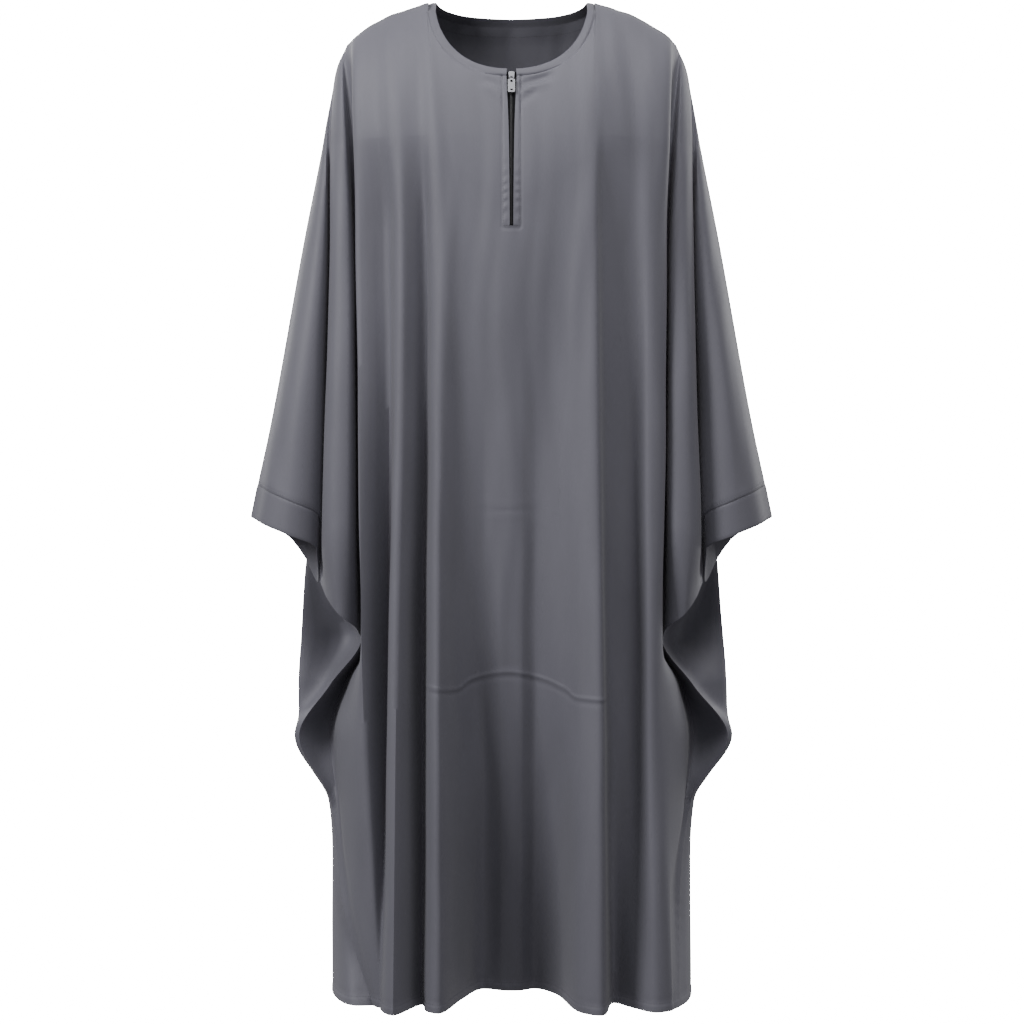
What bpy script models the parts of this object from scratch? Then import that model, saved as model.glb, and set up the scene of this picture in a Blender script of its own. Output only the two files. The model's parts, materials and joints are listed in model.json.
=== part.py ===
"""A kaftan with batwing sleeves, cuff bands and a short zip at the neck.

It is filled out with no wearer: a hollow tube of cloth, open at the neck, the hem and both cuffs.
+Z is up, the front faces -Y, and the origin lies between the two shoulder seams at the neck.
"""
from collections import namedtuple
from math import cos, pi, radians, sin

import bpy
import numpy as np

MM = 0.001

# Driving sizes, in millimetres
WALL = 2.0
SEAM_GAP = 0.3
LENGTH = 1350.0
SHOULDER_Z = -200.0
CHEST_Z = -322.0
WAIST_Z = -570.0
CUFF_Z = -700.0
KNEE_Z = -865.0
NECK_HALF_WIDTH = 103.0
NECK_FRONT_DROP = 111.0
NECK_BACK_DROP = 3.0
NECK_SQUARENESS = 2.3
NECKBAND_WIDTH = 10.0
SHOULDER_TIP_X = 225.0
SHOULDER_TIP_Z = -58.0
SHOULDER_START_Z = -2.0
TIP_X = (225.0, 231.0, 236.0, 240.0, 243.0, 244.0)
TIP_Z = (-58.0, -72.0, -83.0, -95.0, -110.0, -118.0)
SHOULDER_TURN = 0.45
SHOULDER_ROUND = 160.0
SHOULDER_CALM = 0.7
CALM_X = (0.0, 45.0, 95.0, 140.0, 180.0, 214.0)
CALM_Y = (134.0, 132.0, 127.0, 117.0, 99.0, 84.0)
CHEST_ROUND = 300.0
BACK_NECK_LIFT = 45.0
CUFF_DEPTH = 44.0
CUFF_FLARE = 9.0
UNDERARM_Z = -747.0
UNDERARM_X = 260.5
UNDERARM_FLARE = 2.5

# How many strips each stretch of cloth has, down and across
ROWS_TO_SHOULDER = 3
ROWS_TO_CHEST = 5
ROWS_TO_WAIST = 3
ROWS_TO_CUFF = 2
ROWS_TO_KNEE = 3
ROWS_BELOW = 2
ACROSS = 2
TOP_ROWS_CROWD = 1.6

# How far a fold's inner point may lie from its outer one, in wall thicknesses,
# and how often the side seam's thickness direction is averaged along the seam
MITRE_LIMIT = 1.9
SEAM_SMOOTHING = 3

# Two rims that face each other are cut into triangles alike, by their points' order along this
RIM_ORDER = np.array([1.0, 0.61, 0.37])

# Sections below the knee, where the side seam wanders
LOWER_Z = (-930.0, -1000.0, -1090.0, -1220.0, -LENGTH)

# Front folds, left to right: a crest or a valley each, at the chest, waist, knee and hem.
# y is how far the cloth stands in front of the shoulder line.
Fold = namedtuple("Fold", "x_top x_chest y_chest x_waist y_waist x_knee y_knee x_hem y_hem")
FRONT_FOLDS = {
    "side_crest_left": Fold(-214, -206, 86, -201, 97, -198, 103, -174, 103),
    "side_valley_left": Fold(-190, -165, 82, -163, 76, -166, 62, -172, 114),
    "first_edge": Fold(-170, -152, 111, -153, 115, -160, 120, -165, 136),
    "first_crest": Fold(-152, -144, 118, -144, 119, -150, 127, -154, 149),
    "first_valley": Fold(-130, -115, 101, -115, 89, -118, 70, -119, 85),
    "second_edge": Fold(-113, -104, 122, -105, 121, -109, 117, -111, 125),
    "second_crest": Fold(-107, -92, 129, -94, 129, -97, 132, -95, 138),
    "second_valley": Fold(-84, -68, 126, -66, 110, -66, 91, -66, 50),
    "centre_left": Fold(-48, -40, 129, -38, 108, -38, 80, -40, -12),
    "placket_left": Fold(-14, -13, 134, -13, 113, -13, 87, -13, -2),
    "slit_left": Fold(-4.5, -2.3, 135, -2.3, 114, -2.3, 88, -2.3, 0),
    "slit_right": Fold(4.5, 2.3, 135, 2.3, 114, 2.3, 88, 2.3, 0),
    "placket_right": Fold(14, 13, 134, 13, 113, 13, 87, 13, -2),
    "centre_right": Fold(46, 34, 132, 33, 108, 32, 80, 33, -14),
    "inner_rise": Fold(82, 66, 127, 62, 113, 64, 100, 60, 20),
    "third_edge": Fold(105, 92, 130, 90, 124, 95, 126, 91, 132),
    "third_crest": Fold(113, 110, 130, 112, 130, 117, 137, 118, 149),
    "third_valley": Fold(130, 121, 113, 124, 100, 129, 85, 136, 75),
    "wide_valley": Fold(160, 162, 97, 162, 82, 164, 73, 161, 105),
    "side_crest_right": Fold(190, 183, 99, 181, 100, 181, 102, 188, 132),
    "side_lip_right": Fold(214, 206, 82, 204, 87, 200, 90, 210, 120),
}

# Back folds, left to right. y is how far the cloth stands behind the shoulder line.
BACK_FOLDS = {
    "edge_left": Fold(-228, -226, 62, -238, 72, -258, 90, -234, 75),
    "crest_1": Fold(-205, -205, 85, -208, 88, -218, 92, -205, 115),
    "valley_1": Fold(-170, -172, 98, -172, 92, -175, 84, -175, 86),
    "crest_2": Fold(-140, -140, 112, -142, 116, -145, 125, -146, 142),
    "valley_2": Fold(-113, -105, 118, -105, 112, -106, 105, -110, 92),
    "crest_3": Fold(-76, -70, 126, -70, 130, -72, 135, -76, 147),
    "valley_3": Fold(-38, -35, 124, -34, 118, -34, 108, -38, 88),
    "centre": Fold(0, 0, 126, 0, 122, 0, 120, -2, 118),
    "valley_4": Fold(38, 36, 124, 37, 119, 40, 108, 38, 98),
    "crest_4": Fold(76, 72, 126, 74, 130, 76, 136, 78, 150),
    "valley_5": Fold(113, 106, 118, 108, 111, 110, 100, 112, 90),
    "crest_5": Fold(140, 141, 112, 143, 116, 146, 128, 150, 143),
    "valley_6": Fold(170, 172, 98, 174, 91, 178, 83, 180, 84),
    "crest_6": Fold(205, 205, 85, 208, 88, 218, 92, 208, 115),
    "edge_right": Fold(228, 226, 62, 238, 72, 258, 90, 234, 75),
}

# Sleeve and underarm folds, from the over-arm seam inwards, as (x, y, z) at each section.
# x is measured out from the middle, so one table serves both sides. None: the cloth has ended.
Side = namedtuple("Side", "top shoulder chest waist cuff knee", defaults=(None,))
SLEEVE_LINES = 4
FRONT_SIDE = {
    "overarm": Side((244, 0, -118), (259, 0, -200), (283, 0, -322), (328, 0, -570), (347, 0, -659)),
    "sleeve_outer": Side(
        (244, 0, -118), (257, -16, -200), (272, -28, -322), (312, -38, -570), (325, -44, -670)),
    "sleeve_mid": Side(
        (244, 0, -118), (255, -24, -200), (261, -40, -322), (285, -60, -570), (291, -62, -684)),
    "sleeve_lip": Side(
        (244, 0, -118), (251, -30, -200), (251, -38, -322), (258, -46, -570), (259, -42, -700)),
    "outer_crevice": Side(
        (243, 0, -112), (247, -28, -200), (245, -8, -322), (251, -9, -570), (255, -10, -742),
        (259, -24, -791)),
    "wing_outer": Side(
        (240, 0, -95), (244, -38, -200), (244, -46, -322), (249, -58, -570), (253, -62, -732),
        (246, -56, -814)),
    "wing_crest": Side(
        (236, 0, -83), (234, -52, -200), (231, -66, -322), (235, -82, -570), (236, -84, -716),
        (229, -72, -834)),
    "wing_inner": Side(
        (231, 0, -72), (223, -57, -200), (215, -66, -322), (212, -80, -570), (211, -80, -706),
        (210, -60, -849)),
}
# Between the wing and the body: these carry on below the cuff in the seam tables.
FRONT_TUCK = {
    "inner_crevice": Side(
        (228, 0, -65), (216, -46, -200), (211, -26, -322), (208, -22, -570), (207, -22, -700)),
    "tuck_wall": Side(
        (225, 0, -59), (211, -48, -200), (205, -30, -322), (201, -24, -570), (199, -18, -700)),
    "tuck_lip": Side(
        (220, 0, -57), (208, -62, -200), (205, -60, -322), (201, -64, -570), (198, -64, -700)),
}
BACK_SIDE = {
    "overarm": Side((244, 0, -118), (259, 0, -200), (283, 0, -322), (328, 0, -570), (347, 0, -659)),
    "sleeve_outer": Side(
        (244, 0, -118), (257, 16, -200), (272, 30, -322), (312, 34, -570), (326, 28, -669)),
    "sleeve_mid": Side(
        (244, 0, -118), (253, 26, -200), (258, 44, -322), (286, 44, -570), (298, 36, -690)),
    "sleeve_inner": Side(
        (244, 0, -118), (248, 34, -200), (248, 48, -322), (262, 44, -570), (278, 28, -718)),
    "underarm": Side(
        (243, 0, -112), (243, 40, -200), (241, 46, -322), (252, 30, -570), (257, 12, -742),
        (259, -24, -791)),
    "step": Side(
        (240, 0, -95), (239, 46, -200), (238, 50, -322), (250, 46, -570), (262, 44, -738),
        (264, 46, -785)),
    "wing_fold": Side(
        (235, 0, -82), (233, 52, -200), (234, 54, -322), (248, 60, -570), (283, 60, -736),
        (287, 50, -776)),
}

# The side seam and what flanks it, a row at the knee and then one for each of LOWER_Z.
# The seam walks out from under the wing to the tip, and back in and forward to the hem.
# inside and rise are the front's lines next to it: the deepest cloth behind the flap, and the
# body's own edge. step and fold are the back's, which wraps round to the seam.
Seam = namedtuple("Seam", "seam_x seam_y inside_x inside_y rise_x rise_y step_x step_y fold_x fold_y")
SEAM_LEFT = (
    Seam(203, -24, 192, 10, 197, -62, 228, 54, 290, 26),
    Seam(246, -20, 229, 22, 216, -42, 258, 13, 293, 14),
    Seam(289, -12, 250, 22, 233, -42, 296, -4, 292, 20),
    Seam(246, -12, 237, -11, 230, -44, 251, 2, 248, 26),
    Seam(228, -46, 219, -54, 208, -74, 238, -24, 246, 20),
    Seam(184, -90, 180, -96, 177, -101, 214, -88, 246, 10),
)
SEAM_RIGHT = (
    Seam(203, -24, 192, 10, 198, -62, 228, 40, 291, 26),
    Seam(246, -30, 232, 22, 222, -46, 258, -8, 295, 14),
    Seam(294, -14, 250, 22, 234, -48, 301, -4, 297, 20),
    Seam(244, -12, 236, -11, 231, -46, 250, 2, 247, 26),
    Seam(226, -46, 218, -56, 211, -82, 238, -24, 246, 22),
    Seam(222, -98, 217, -107, 213, -113, 236, -62, 246, 14),
)

# Zip sizes, in millimetres. Slider and pull sizes are width, length and thickness.
TAPE_THICK = 1.0
TAPE_GAP = 0.6
TAPE_ABOVE_SEAM = 7.0
TAPE_BELOW_SLIT = 12.0
SLIDER_Z = -121.0
SLIDER_SIZE = (8.0, 11.5, 3.0)
SLIDER_OUT = 1.2
SLIDER_WAIST = 0.4
SLIDER_FOOT = 0.9
SLIDER_SHOULDER = 1.6
EAR_SIZE = (0.8, 2.6, 2.8)
EAR_SINK = 0.4
EAR_TAPER = 0.5
EAR_OUTER_X = 2.7
PIN_RADIUS = 0.55
PIN_DROP = 3.9
PIN_BELOW_EAR = 0.9
PIN_END_SINK = 0.2
PULL_SIZE = (9.4, 22.5, 1.1)
PULL_CORNER = 1.2
PULL_NECK_HALF = 1.5
PULL_NECK_LENGTH = 2.6
PULL_NECK_RISE = 1.55
PULL_SLOT = (3.6, 2.0)
PULL_SLOT_UP = 2.6
PULL_HOLE_RADIUS = 1.8
PULL_HOLE_DROP = 6.2
EYE_RADIUS = 0.95
EYE_WALL = 0.55


def smooth(position, knots, values):
    """A smooth curve through values at the knots, with no overshoot. The knots may fall or rise."""
    knots = np.asarray(knots, float)
    values = np.asarray(values, float)
    if knots[0] > knots[-1]:
        knots, values = knots[::-1], values[::-1]
    step = np.diff(knots)
    rise = np.diff(values) / step
    slope = np.zeros(len(knots))
    slope[0], slope[-1] = rise[0], rise[-1]
    for i in range(1, len(knots) - 1):
        if rise[i - 1] * rise[i] > 0:
            slope[i] = 2 * rise[i - 1] * rise[i] / (rise[i - 1] + rise[i])
    place = np.clip(position, knots[0], knots[-1])
    i = np.clip(np.searchsorted(knots, place) - 1, 0, len(step) - 1)
    t = (place - knots[i]) / step[i]
    return (values[i] * (1 + 2 * t) * (1 - t) ** 2 + values[i + 1] * t * t * (3 - 2 * t)
            + step[i] * (slope[i] * t * (1 - t) ** 2 - slope[i + 1] * t * t * (1 - t)))


def across(points, strips):
    """A centripetal Catmull-Rom curve through the points, with so many strips between each two."""
    points = np.asarray(points, float)
    ends = [2 * points[0] - points[1], *points, 2 * points[-1] - points[-2]]
    out = []
    for i, count in enumerate(strips):
        a, b, c, d = ends[i:i + 4]
        t0 = 0.0
        t1 = t0 + max(np.linalg.norm(b - a), 1e-6) ** 0.5
        t2 = t1 + max(np.linalg.norm(c - b), 1e-6) ** 0.5
        t3 = t2 + max(np.linalg.norm(d - c), 1e-6) ** 0.5
        for t in t1 + (t2 - t1) * np.arange(count) / count:
            ab = ((t1 - t) * a + (t - t0) * b) / (t1 - t0)
            bc = ((t2 - t) * b + (t - t1) * c) / (t2 - t1)
            cd = ((t3 - t) * c + (t - t2) * d) / (t3 - t2)
            abc = ((t2 - t) * ab + (t - t0) * bc) / (t2 - t0)
            bcd = ((t3 - t) * bc + (t - t1) * cd) / (t3 - t1)
            out.append(((t2 - t) * abc + (t - t1) * bcd) / (t2 - t1))
    out.append(points[-1])
    return np.array(out)


def shoulder_z(x):
    """Height of the shoulder seam, a gentle slope that turns down at the tip."""
    start = NECK_HALF_WIDTH + NECKBAND_WIDTH
    run = np.clip((np.abs(x) - start) / (SHOULDER_TIP_X - start), 0, 1)
    fall = (1 - SHOULDER_TURN) * run + SHOULDER_TURN * run ** 3
    return SHOULDER_START_Z + (SHOULDER_TIP_Z - SHOULDER_START_Z) * fall


def neck_z(x, band, drop):
    """Height of the neck's edge, or of the neckband's outer edge when band is its width."""
    reach = NECK_HALF_WIDTH + band
    rim = SHOULDER_START_Z * band / NECKBAND_WIDTH
    bow = np.clip(1 - np.abs(x / reach) ** NECK_SQUARENESS, 0, 1) ** (1 / NECK_SQUARENESS)
    return rim - (drop + band + rim) * bow


def roundness(x, z, back):
    """0 on the shoulder line and 1 at the full depth of the chest or back."""
    line = shoulder_z(x)
    radius = SHOULDER_ROUND
    if back:
        inner = np.clip(np.abs(x) / (NECK_HALF_WIDTH + NECKBAND_WIDTH), 0, 1)
        line = line + BACK_NECK_LIFT * (1 - inner ** 2)
    else:
        middle = 1 - np.clip(np.abs(x) / SHOULDER_TIP_X, 0, 1)
        radius = SHOULDER_ROUND + (CHEST_ROUND - SHOULDER_ROUND) * middle
    q = np.clip((line - z) / radius, 0, 1)
    return np.sqrt(1 - (1 - q) ** 2)


def body_stations(folds, front):
    """Each fold's points (x, y, z) at the top, chest, waist, cuff, knee and lower sections."""
    lines = []
    sign = -1.0 if front else 1.0
    for f in folds.values():
        if abs(f.x_top) <= NECK_HALF_WIDTH + NECKBAND_WIDTH:
            top_z = neck_z(f.x_top, NECKBAND_WIDTH, NECK_FRONT_DROP if front else NECK_BACK_DROP)
        else:
            top_z = shoulder_z(f.x_top)
        known_z = (CHEST_Z, WAIST_Z, KNEE_Z, -LENGTH)
        xs = (f.x_chest, f.x_waist, f.x_knee, f.x_hem)
        ys = (f.y_chest, f.y_waist, f.y_knee, f.y_hem)
        share = (SHOULDER_Z - float(top_z)) / (CHEST_Z - float(top_z))
        y_shoulder = f.y_chest
        if front:
            y_shoulder += (float(smooth(abs(f.x_chest), CALM_X, CALM_Y)) - f.y_chest) * SHOULDER_CALM
        line = [(f.x_top, 0.0, float(top_z)),
                (f.x_top + (f.x_chest - f.x_top) * share, sign * y_shoulder, SHOULDER_Z)]
        for z in (CHEST_Z, WAIST_Z, CUFF_Z, KNEE_Z) + LOWER_Z:
            line.append((float(smooth(z, known_z, xs)), sign * float(smooth(z, known_z, ys)), z))
        lines.append(line)
    return lines


def side_stations(table, sign):
    """The sleeve and wing lines on one side, as lists of points, with x signed."""
    return [[None if p is None else (sign * p[0], p[1], p[2]) for p in side] for side in table.values()]


class Sheet:
    """A sheet of cloth on a grid of rows and columns, some cells of which are left out."""

    def __init__(self, points, limits, outward):
        self.points = points
        self.limits = limits
        self.outward = outward
        self.holes = set()

    def cells(self):
        for col, limit in enumerate(self.limits):
            for row in range(limit):
                if (row, col) not in self.holes:
                    yield row, col

    def corners(self, row, col):
        ring = [(row, col), (row + 1, col), (row + 1, col + 1), (row, col + 1)]
        return ring if self.outward < 0 else ring[::-1]

    def index(self):
        """Number the grid points in use, with points that coincide sharing a number."""
        ids, seen, spots = {}, {}, []
        for row, col in self.cells():
            for spot in self.corners(row, col):
                key = tuple(np.round(self.points[spot], 4))
                if key not in seen:
                    seen[key] = len(spots)
                    spots.append(self.points[spot])
                ids[spot] = seen[key]
        faces = []
        for row, col in self.cells():
            face = []
            for spot in self.corners(row, col):
                if ids[spot] not in face:
                    face.append(ids[spot])
            if len(face) > 2:
                faces.append(face)
        return ids, np.array(spots), faces


def vertex_normals(spots, faces):
    """Unit normals, and how much further a sharp fold's inner point lies to keep the wall's thickness."""
    total = np.zeros_like(spots)
    count = np.zeros(len(spots))
    for face in faces:
        corner = spots[face]
        for i, spot in enumerate(face):
            ahead = corner[(i + 1) % len(face)] - corner[i]
            behind = corner[i - 1] - corner[i]
            normal = np.cross(ahead, behind)
            size = np.linalg.norm(normal)
            if size > 1e-9:
                total[spot] += normal / size
                count[spot] += 1
    length = np.maximum(np.linalg.norm(total, axis=1), 1e-9)
    reach = np.clip(count / length, 1.0, MITRE_LIMIT)
    return total / length[:, None], reach


def rim_edges(faces):
    """Directed edges that only one face uses."""
    seen = {}
    for face in faces:
        for i in range(len(face)):
            seen[(face[i], face[(i + 1) % len(face)])] = True
    return [edge for edge in seen if (edge[1], edge[0]) not in seen]


def wall_faces(outer, faces):
    """Triangles of a wall: the outer skin, the inner skin, and the rim between them."""
    count = len(outer)
    skin = split_quads(outer, faces)
    inner = [[i + count for i in face[::-1]] for face in skin]
    rim = []
    for a, b in rim_edges(faces):
        if outer[a].dot(RIM_ORDER) < outer[b].dot(RIM_ORDER):
            rim += [[b, a, a + count], [b, a + count, b + count]]
        else:
            rim += [[b, a, b + count], [a, a + count, b + count]]
    return skin + inner + rim


def split_quads(points, faces):
    """Triangles for quads, cut along the shorter diagonal."""
    out = []
    for face in faces:
        if len(face) != 4:
            out.append(face)
            continue
        a, b, c, d = face
        if np.linalg.norm(points[a] - points[c]) <= np.linalg.norm(points[b] - points[d]) + 1e-6:
            out += [[a, b, c], [a, c, d]]
        else:
            out += [[b, c, d], [b, d, a]]
    return out


def material(name, colour, roughness_value, metallic=0.0):
    made = bpy.data.materials.new(name)
    made.use_nodes = True
    shader = made.node_tree.nodes["Principled BSDF"]
    shader.inputs["Base Color"].default_value = (*colour, 1.0)
    shader.inputs["Roughness"].default_value = roughness_value
    shader.inputs["Metallic"].default_value = metallic
    return made


def add_object(name, points, faces, finish, smooth_shaded=True):
    """Make a mesh object from points in millimetres."""
    mesh = bpy.data.meshes.new(name)
    mesh.from_pydata([tuple(p) for p in np.asarray(points) * MM], [], [list(f) for f in faces])
    mesh.validate()
    obj = bpy.data.objects.new(name, mesh)
    bpy.context.scene.collection.objects.link(obj)
    mesh.materials.append(finish)
    if smooth_shaded:
        mesh.shade_smooth()
        mesh.set_sharp_from_angle(angle=radians(50))
    return obj


def descend(stations, rows, front):
    """Points down one column: its x and y follow the sections, and its top turns over the shoulder."""
    known = [p for p in stations if p is not None]
    zs = [p[2] for p in known]
    top = known[0]
    z_rows = []
    for i in range(len(known) - 1):
        count = rows[i]
        steps = np.arange(count) / count
        if i == 0:
            steps = steps ** TOP_ROWS_CROWD
        z_rows += list(zs[i] + (zs[i + 1] - zs[i]) * steps)
    z_rows = np.array(z_rows + [zs[-1]])
    x = smooth(z_rows, zs, [p[0] for p in known])
    body = smooth(z_rows, zs[1:], [p[1] for p in known[1:]])
    above = z_rows > CHEST_Z
    body = np.where(above, body * column_roundness(top, z_rows, not front), body)
    return np.stack([x, body, z_rows], axis=1)


def column_roundness(top, z, back):
    """How far a column has turned over the shoulder. Beyond the tip it turns at its own top."""
    if abs(top[0]) < SHOULDER_TIP_X:
        return roundness(np.full(np.shape(z), top[0]), z, back)
    q = np.clip((top[2] - z) / SHOULDER_ROUND, 0, 1)
    return np.sqrt(1 - (1 - q) ** 2)


def build_sheet(lines, strips, row_counts, limits, front):
    """Interpolate lines of stations into a grid sheet, first across, then down."""
    columns = [[] for _ in range(sum(strips) + 1)]
    for s in range(len(lines[0])):
        valid = [i for i, line in enumerate(lines) if line[s] is not None]
        first, last = valid[0], valid[-1]
        offset = sum(strips[:first])
        row = across([lines[i][s] for i in range(first, last + 1)], strips[first:last])
        for k, column in enumerate(columns):
            inside = offset <= k < offset + len(row)
            column.append(tuple(row[k - offset]) if inside else None)
    grid = np.full((sum(row_counts) + 1, len(columns), 3), np.nan)
    for k, column in enumerate(columns):
        if column[0] is None:
            continue
        fixed = fix_top(column[0], front)
        stations = [fixed] + column[1:]
        run = descend(stations, row_counts, front)
        grid[:len(run), k] = run
    return Sheet(grid, limits, -1 if front else 1)


def fix_top(point, front):
    """Put a column's top on the neck's edge, on the shoulder line, or on the over-arm seam beyond it."""
    x = point[0]
    reach = NECK_HALF_WIDTH + NECKBAND_WIDTH
    if abs(x) <= reach + 1e-6:
        return (x, 0.0, float(neck_z(x, NECKBAND_WIDTH, NECK_FRONT_DROP if front else NECK_BACK_DROP)))
    if abs(x) < SHOULDER_TIP_X:
        return (x, 0.0, float(shoulder_z(x)))
    return (x, 0.0, float(smooth(abs(x), TIP_X, TIP_Z)))


def seam_lines(table, sign, names):
    """Extra stations from the knee down for the lines that flank the side seam."""
    out = []
    for x_name, y_name in names:
        out.append([(sign * getattr(s, x_name), getattr(s, y_name), z)
                    for s, z in zip(table, (KNEE_Z,) + LOWER_Z)])
    return out


def front_sheet():
    """The front panel's outer skin, and where its regions of columns begin and end."""
    body = body_stations(FRONT_FOLDS, True)
    lines = []
    for sign, table in ((-1, SEAM_LEFT), (1, SEAM_RIGHT)):
        side = [line + [None] * len(LOWER_Z) for line in side_stations(FRONT_SIDE, sign)]
        tuck = [line[:-1] for line in side_stations(FRONT_TUCK, sign)]
        below = seam_lines(table, sign, (("seam_x", "seam_y"), ("inside_x", "inside_y"),
                                         ("rise_x", "rise_y")))
        tuck = [line + lower for line, lower in zip(tuck, below)]
        lines.append(side + tuck)
    all_lines = lines[0] + body + lines[1][::-1]
    strips = [ACROSS] * (len(all_lines) - 1)
    names = list(FRONT_FOLDS)
    slit = len(lines[0]) + names.index("slit_left")
    strips[slit] = 1
    to_cuff = ROWS_TO_CHEST + ROWS_TO_WAIST + ROWS_TO_CUFF
    to_knee = to_cuff + ROWS_TO_KNEE
    total = to_knee + ROWS_BELOW * len(LOWER_Z)
    limits = []
    wing_lines = len(FRONT_SIDE)
    for i, count in enumerate(strips):
        from_edge = min(i, len(strips) - 1 - i)
        limit = to_cuff if from_edge < SLEEVE_LINES else to_knee if from_edge < wing_lines else total
        limits += [limit] * count
    rows = [ROWS_TO_SHOULDER, ROWS_TO_CHEST - ROWS_TO_SHOULDER, ROWS_TO_WAIST, ROWS_TO_CUFF, ROWS_TO_KNEE]
    rows += [ROWS_BELOW] * len(LOWER_Z)
    sheet = build_sheet(all_lines, strips, rows, limits, True)
    slit_col = sum(strips[:slit])
    sheet.holes = {(row, slit_col) for row in range(ROWS_TO_CHEST)}
    sheet.to_cuff, sheet.to_knee, sheet.total = to_cuff, to_knee, total
    sheet.slit_col = slit_col
    sheet.sleeve_cols = sum(strips[:SLEEVE_LINES])
    sheet.wing_cols = sum(strips[:wing_lines])
    return sheet


def back_sheet(front):
    """The back panel's outer skin. Its side edges take the front's own seam points."""
    body = body_stations(BACK_FOLDS, False)
    lines = []
    for sign, table in ((-1, SEAM_LEFT), (1, SEAM_RIGHT)):
        side = side_stations(BACK_SIDE, sign)
        below = seam_lines(table, sign, (("seam_x", "seam_y"), ("step_x", "step_y"), ("fold_x", "fold_y")))
        for line in side[:SLEEVE_LINES]:
            line += [None] * (1 + len(LOWER_Z))
        for line, lower in zip(side[SLEEVE_LINES:], below):
            line += lower
        lines.append(side)
    for line in body:
        cuff, knee = line[4], line[5]
        line.insert(5, tuple(cuff[i] + (knee[i] - cuff[i]) * 0.5 for i in range(3)))
    all_lines = lines[0] + body + lines[1][::-1]
    strips = [ACROSS] * (len(all_lines) - 1)
    hem_steps = front.wing_cols - front.sleeve_cols
    rows = [ROWS_TO_SHOULDER, ROWS_TO_CHEST - ROWS_TO_SHOULDER, ROWS_TO_WAIST, ROWS_TO_CUFF, ROWS_TO_KNEE]
    rows += [hem_steps] + [ROWS_BELOW] * len(LOWER_Z)
    total = sum(rows)
    limits = []
    for i, count in enumerate(strips):
        from_edge = min(i, len(strips) - 1 - i)
        limits += [front.to_cuff if from_edge < SLEEVE_LINES else total] * count
    sheet = build_sheet(all_lines, strips, rows, limits, False)
    sheet.to_cuff, sheet.total = front.to_cuff, total
    sheet.sleeve_cols = sum(strips[:SLEEVE_LINES])
    return sheet


def seam_path(front, side):
    """Grid spots of the front's side seam, from just below the cuff to the hem."""
    last = front.points.shape[1] - 1
    flip = (lambda c: c) if side < 0 else (lambda c: last - c)
    path = [(row, flip(front.sleeve_cols)) for row in range(front.to_cuff + 1, front.to_knee + 1)]
    path += [(front.to_knee, flip(col)) for col in range(front.sleeve_cols + 1, front.wing_cols + 1)]
    path += [(row, flip(front.wing_cols)) for row in range(front.to_knee + 1, front.total + 1)]
    return path


def back_path(back, side):
    """Grid spots of the back's side seam, which match the front's one for one."""
    last = back.points.shape[1] - 1
    col = back.sleeve_cols if side < 0 else last - back.sleeve_cols
    return [(row, col) for row in range(back.to_cuff + 1, back.total + 1)]


def panels():
    """Both panels' skins with shared seams, their normals, and a gap along every seam."""
    front = front_sheet()
    back = back_sheet(front)
    for side in (-1, 1):
        for spot, match in zip(seam_path(front, side), back_path(back, side)):
            back.points[match] = front.points[spot]
    made = []
    for sheet in (front, back):
        sheet.ids, sheet.spots, sheet.faces = sheet.index()
        sheet.normals, sheet.reach = vertex_normals(sheet.spots, sheet.faces)
        made.append(sheet)
    level_shoulder_normals(front)
    level_shoulder_normals(back)
    share_neck_corner(front, back)
    for sheet in made:
        sheet.inner = sheet.spots - sheet.normals * WALL * sheet.reach[:, None]
    for side in (-1, 1):
        part_side_seam(front, back, side)
    for sheet in made:
        shift = sheet.outward * SEAM_GAP / 2
        flat = np.abs(sheet.spots[:, 1]) < 1e-6
        sheet.spots[flat, 1] += shift
        sheet.inner[flat, 1] += shift
    return front, back


def level_shoulder_normals(sheet):
    """Along the shoulder and over-arm seam the cloth's thickness lies in the seam's own plane."""
    flat = np.abs(sheet.spots[:, 1]) < 1e-6
    sheet.normals[flat, 1] = 0.0
    length = np.linalg.norm(sheet.normals[flat], axis=1)
    sheet.normals[flat] /= np.maximum(length, 1e-9)[:, None]
    sheet.reach[flat] = 1.0


def share_neck_corner(front, back):
    """Where the shoulder seam meets the neckband, both panels take one thickness direction."""
    reach = NECK_HALF_WIDTH + NECKBAND_WIDTH
    for side in (-1, 1):
        spots = []
        for sheet in (front, back):
            away = np.linalg.norm(sheet.spots - np.array([side * reach, 0.0, SHOULDER_START_Z]), axis=1)
            spots.append((sheet, int(away.argmin())))
        both = sum(sheet.normals[i] for sheet, i in spots)
        both /= np.linalg.norm(both)
        for sheet, i in spots:
            sheet.normals[i] = both


def part_side_seam(front, back, side):
    """Give both panels one thickness direction along the side seam, and part them by the gap."""
    fronts = [front.ids[spot] for spot in seam_path(front, side)]
    backs = [back.ids[spot] for spot in back_path(back, side)]
    normal = front.normals[fronts] + back.normals[backs]
    for _ in range(SEAM_SMOOTHING):
        normal /= np.linalg.norm(normal, axis=1)[:, None]
        padded = np.concatenate([normal[:1], normal, normal[-1:]])
        normal = padded[:-2] + 2 * padded[1:-1] + padded[2:]
    path = front.spots[fronts]
    along = np.gradient(path, axis=0)
    along /= np.linalg.norm(along, axis=1)[:, None]
    normal -= along * (normal * along).sum(axis=1)[:, None]
    normal /= np.linalg.norm(normal, axis=1)[:, None]
    toward_front = np.cross(along, normal) * side
    for sheet, ids, sign in ((front, fronts, 1), (back, backs, -1)):
        shift = sign * toward_front * SEAM_GAP / 2
        sheet.spots[ids] = path + shift
        sheet.inner[ids] = path - normal * WALL + shift


def add_wall(name, outer, inner, faces, finish):
    """A closed wall from two matching skins."""
    points = np.concatenate([outer, inner])
    return add_object(name, points, wall_faces(outer, faces), finish)


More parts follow.
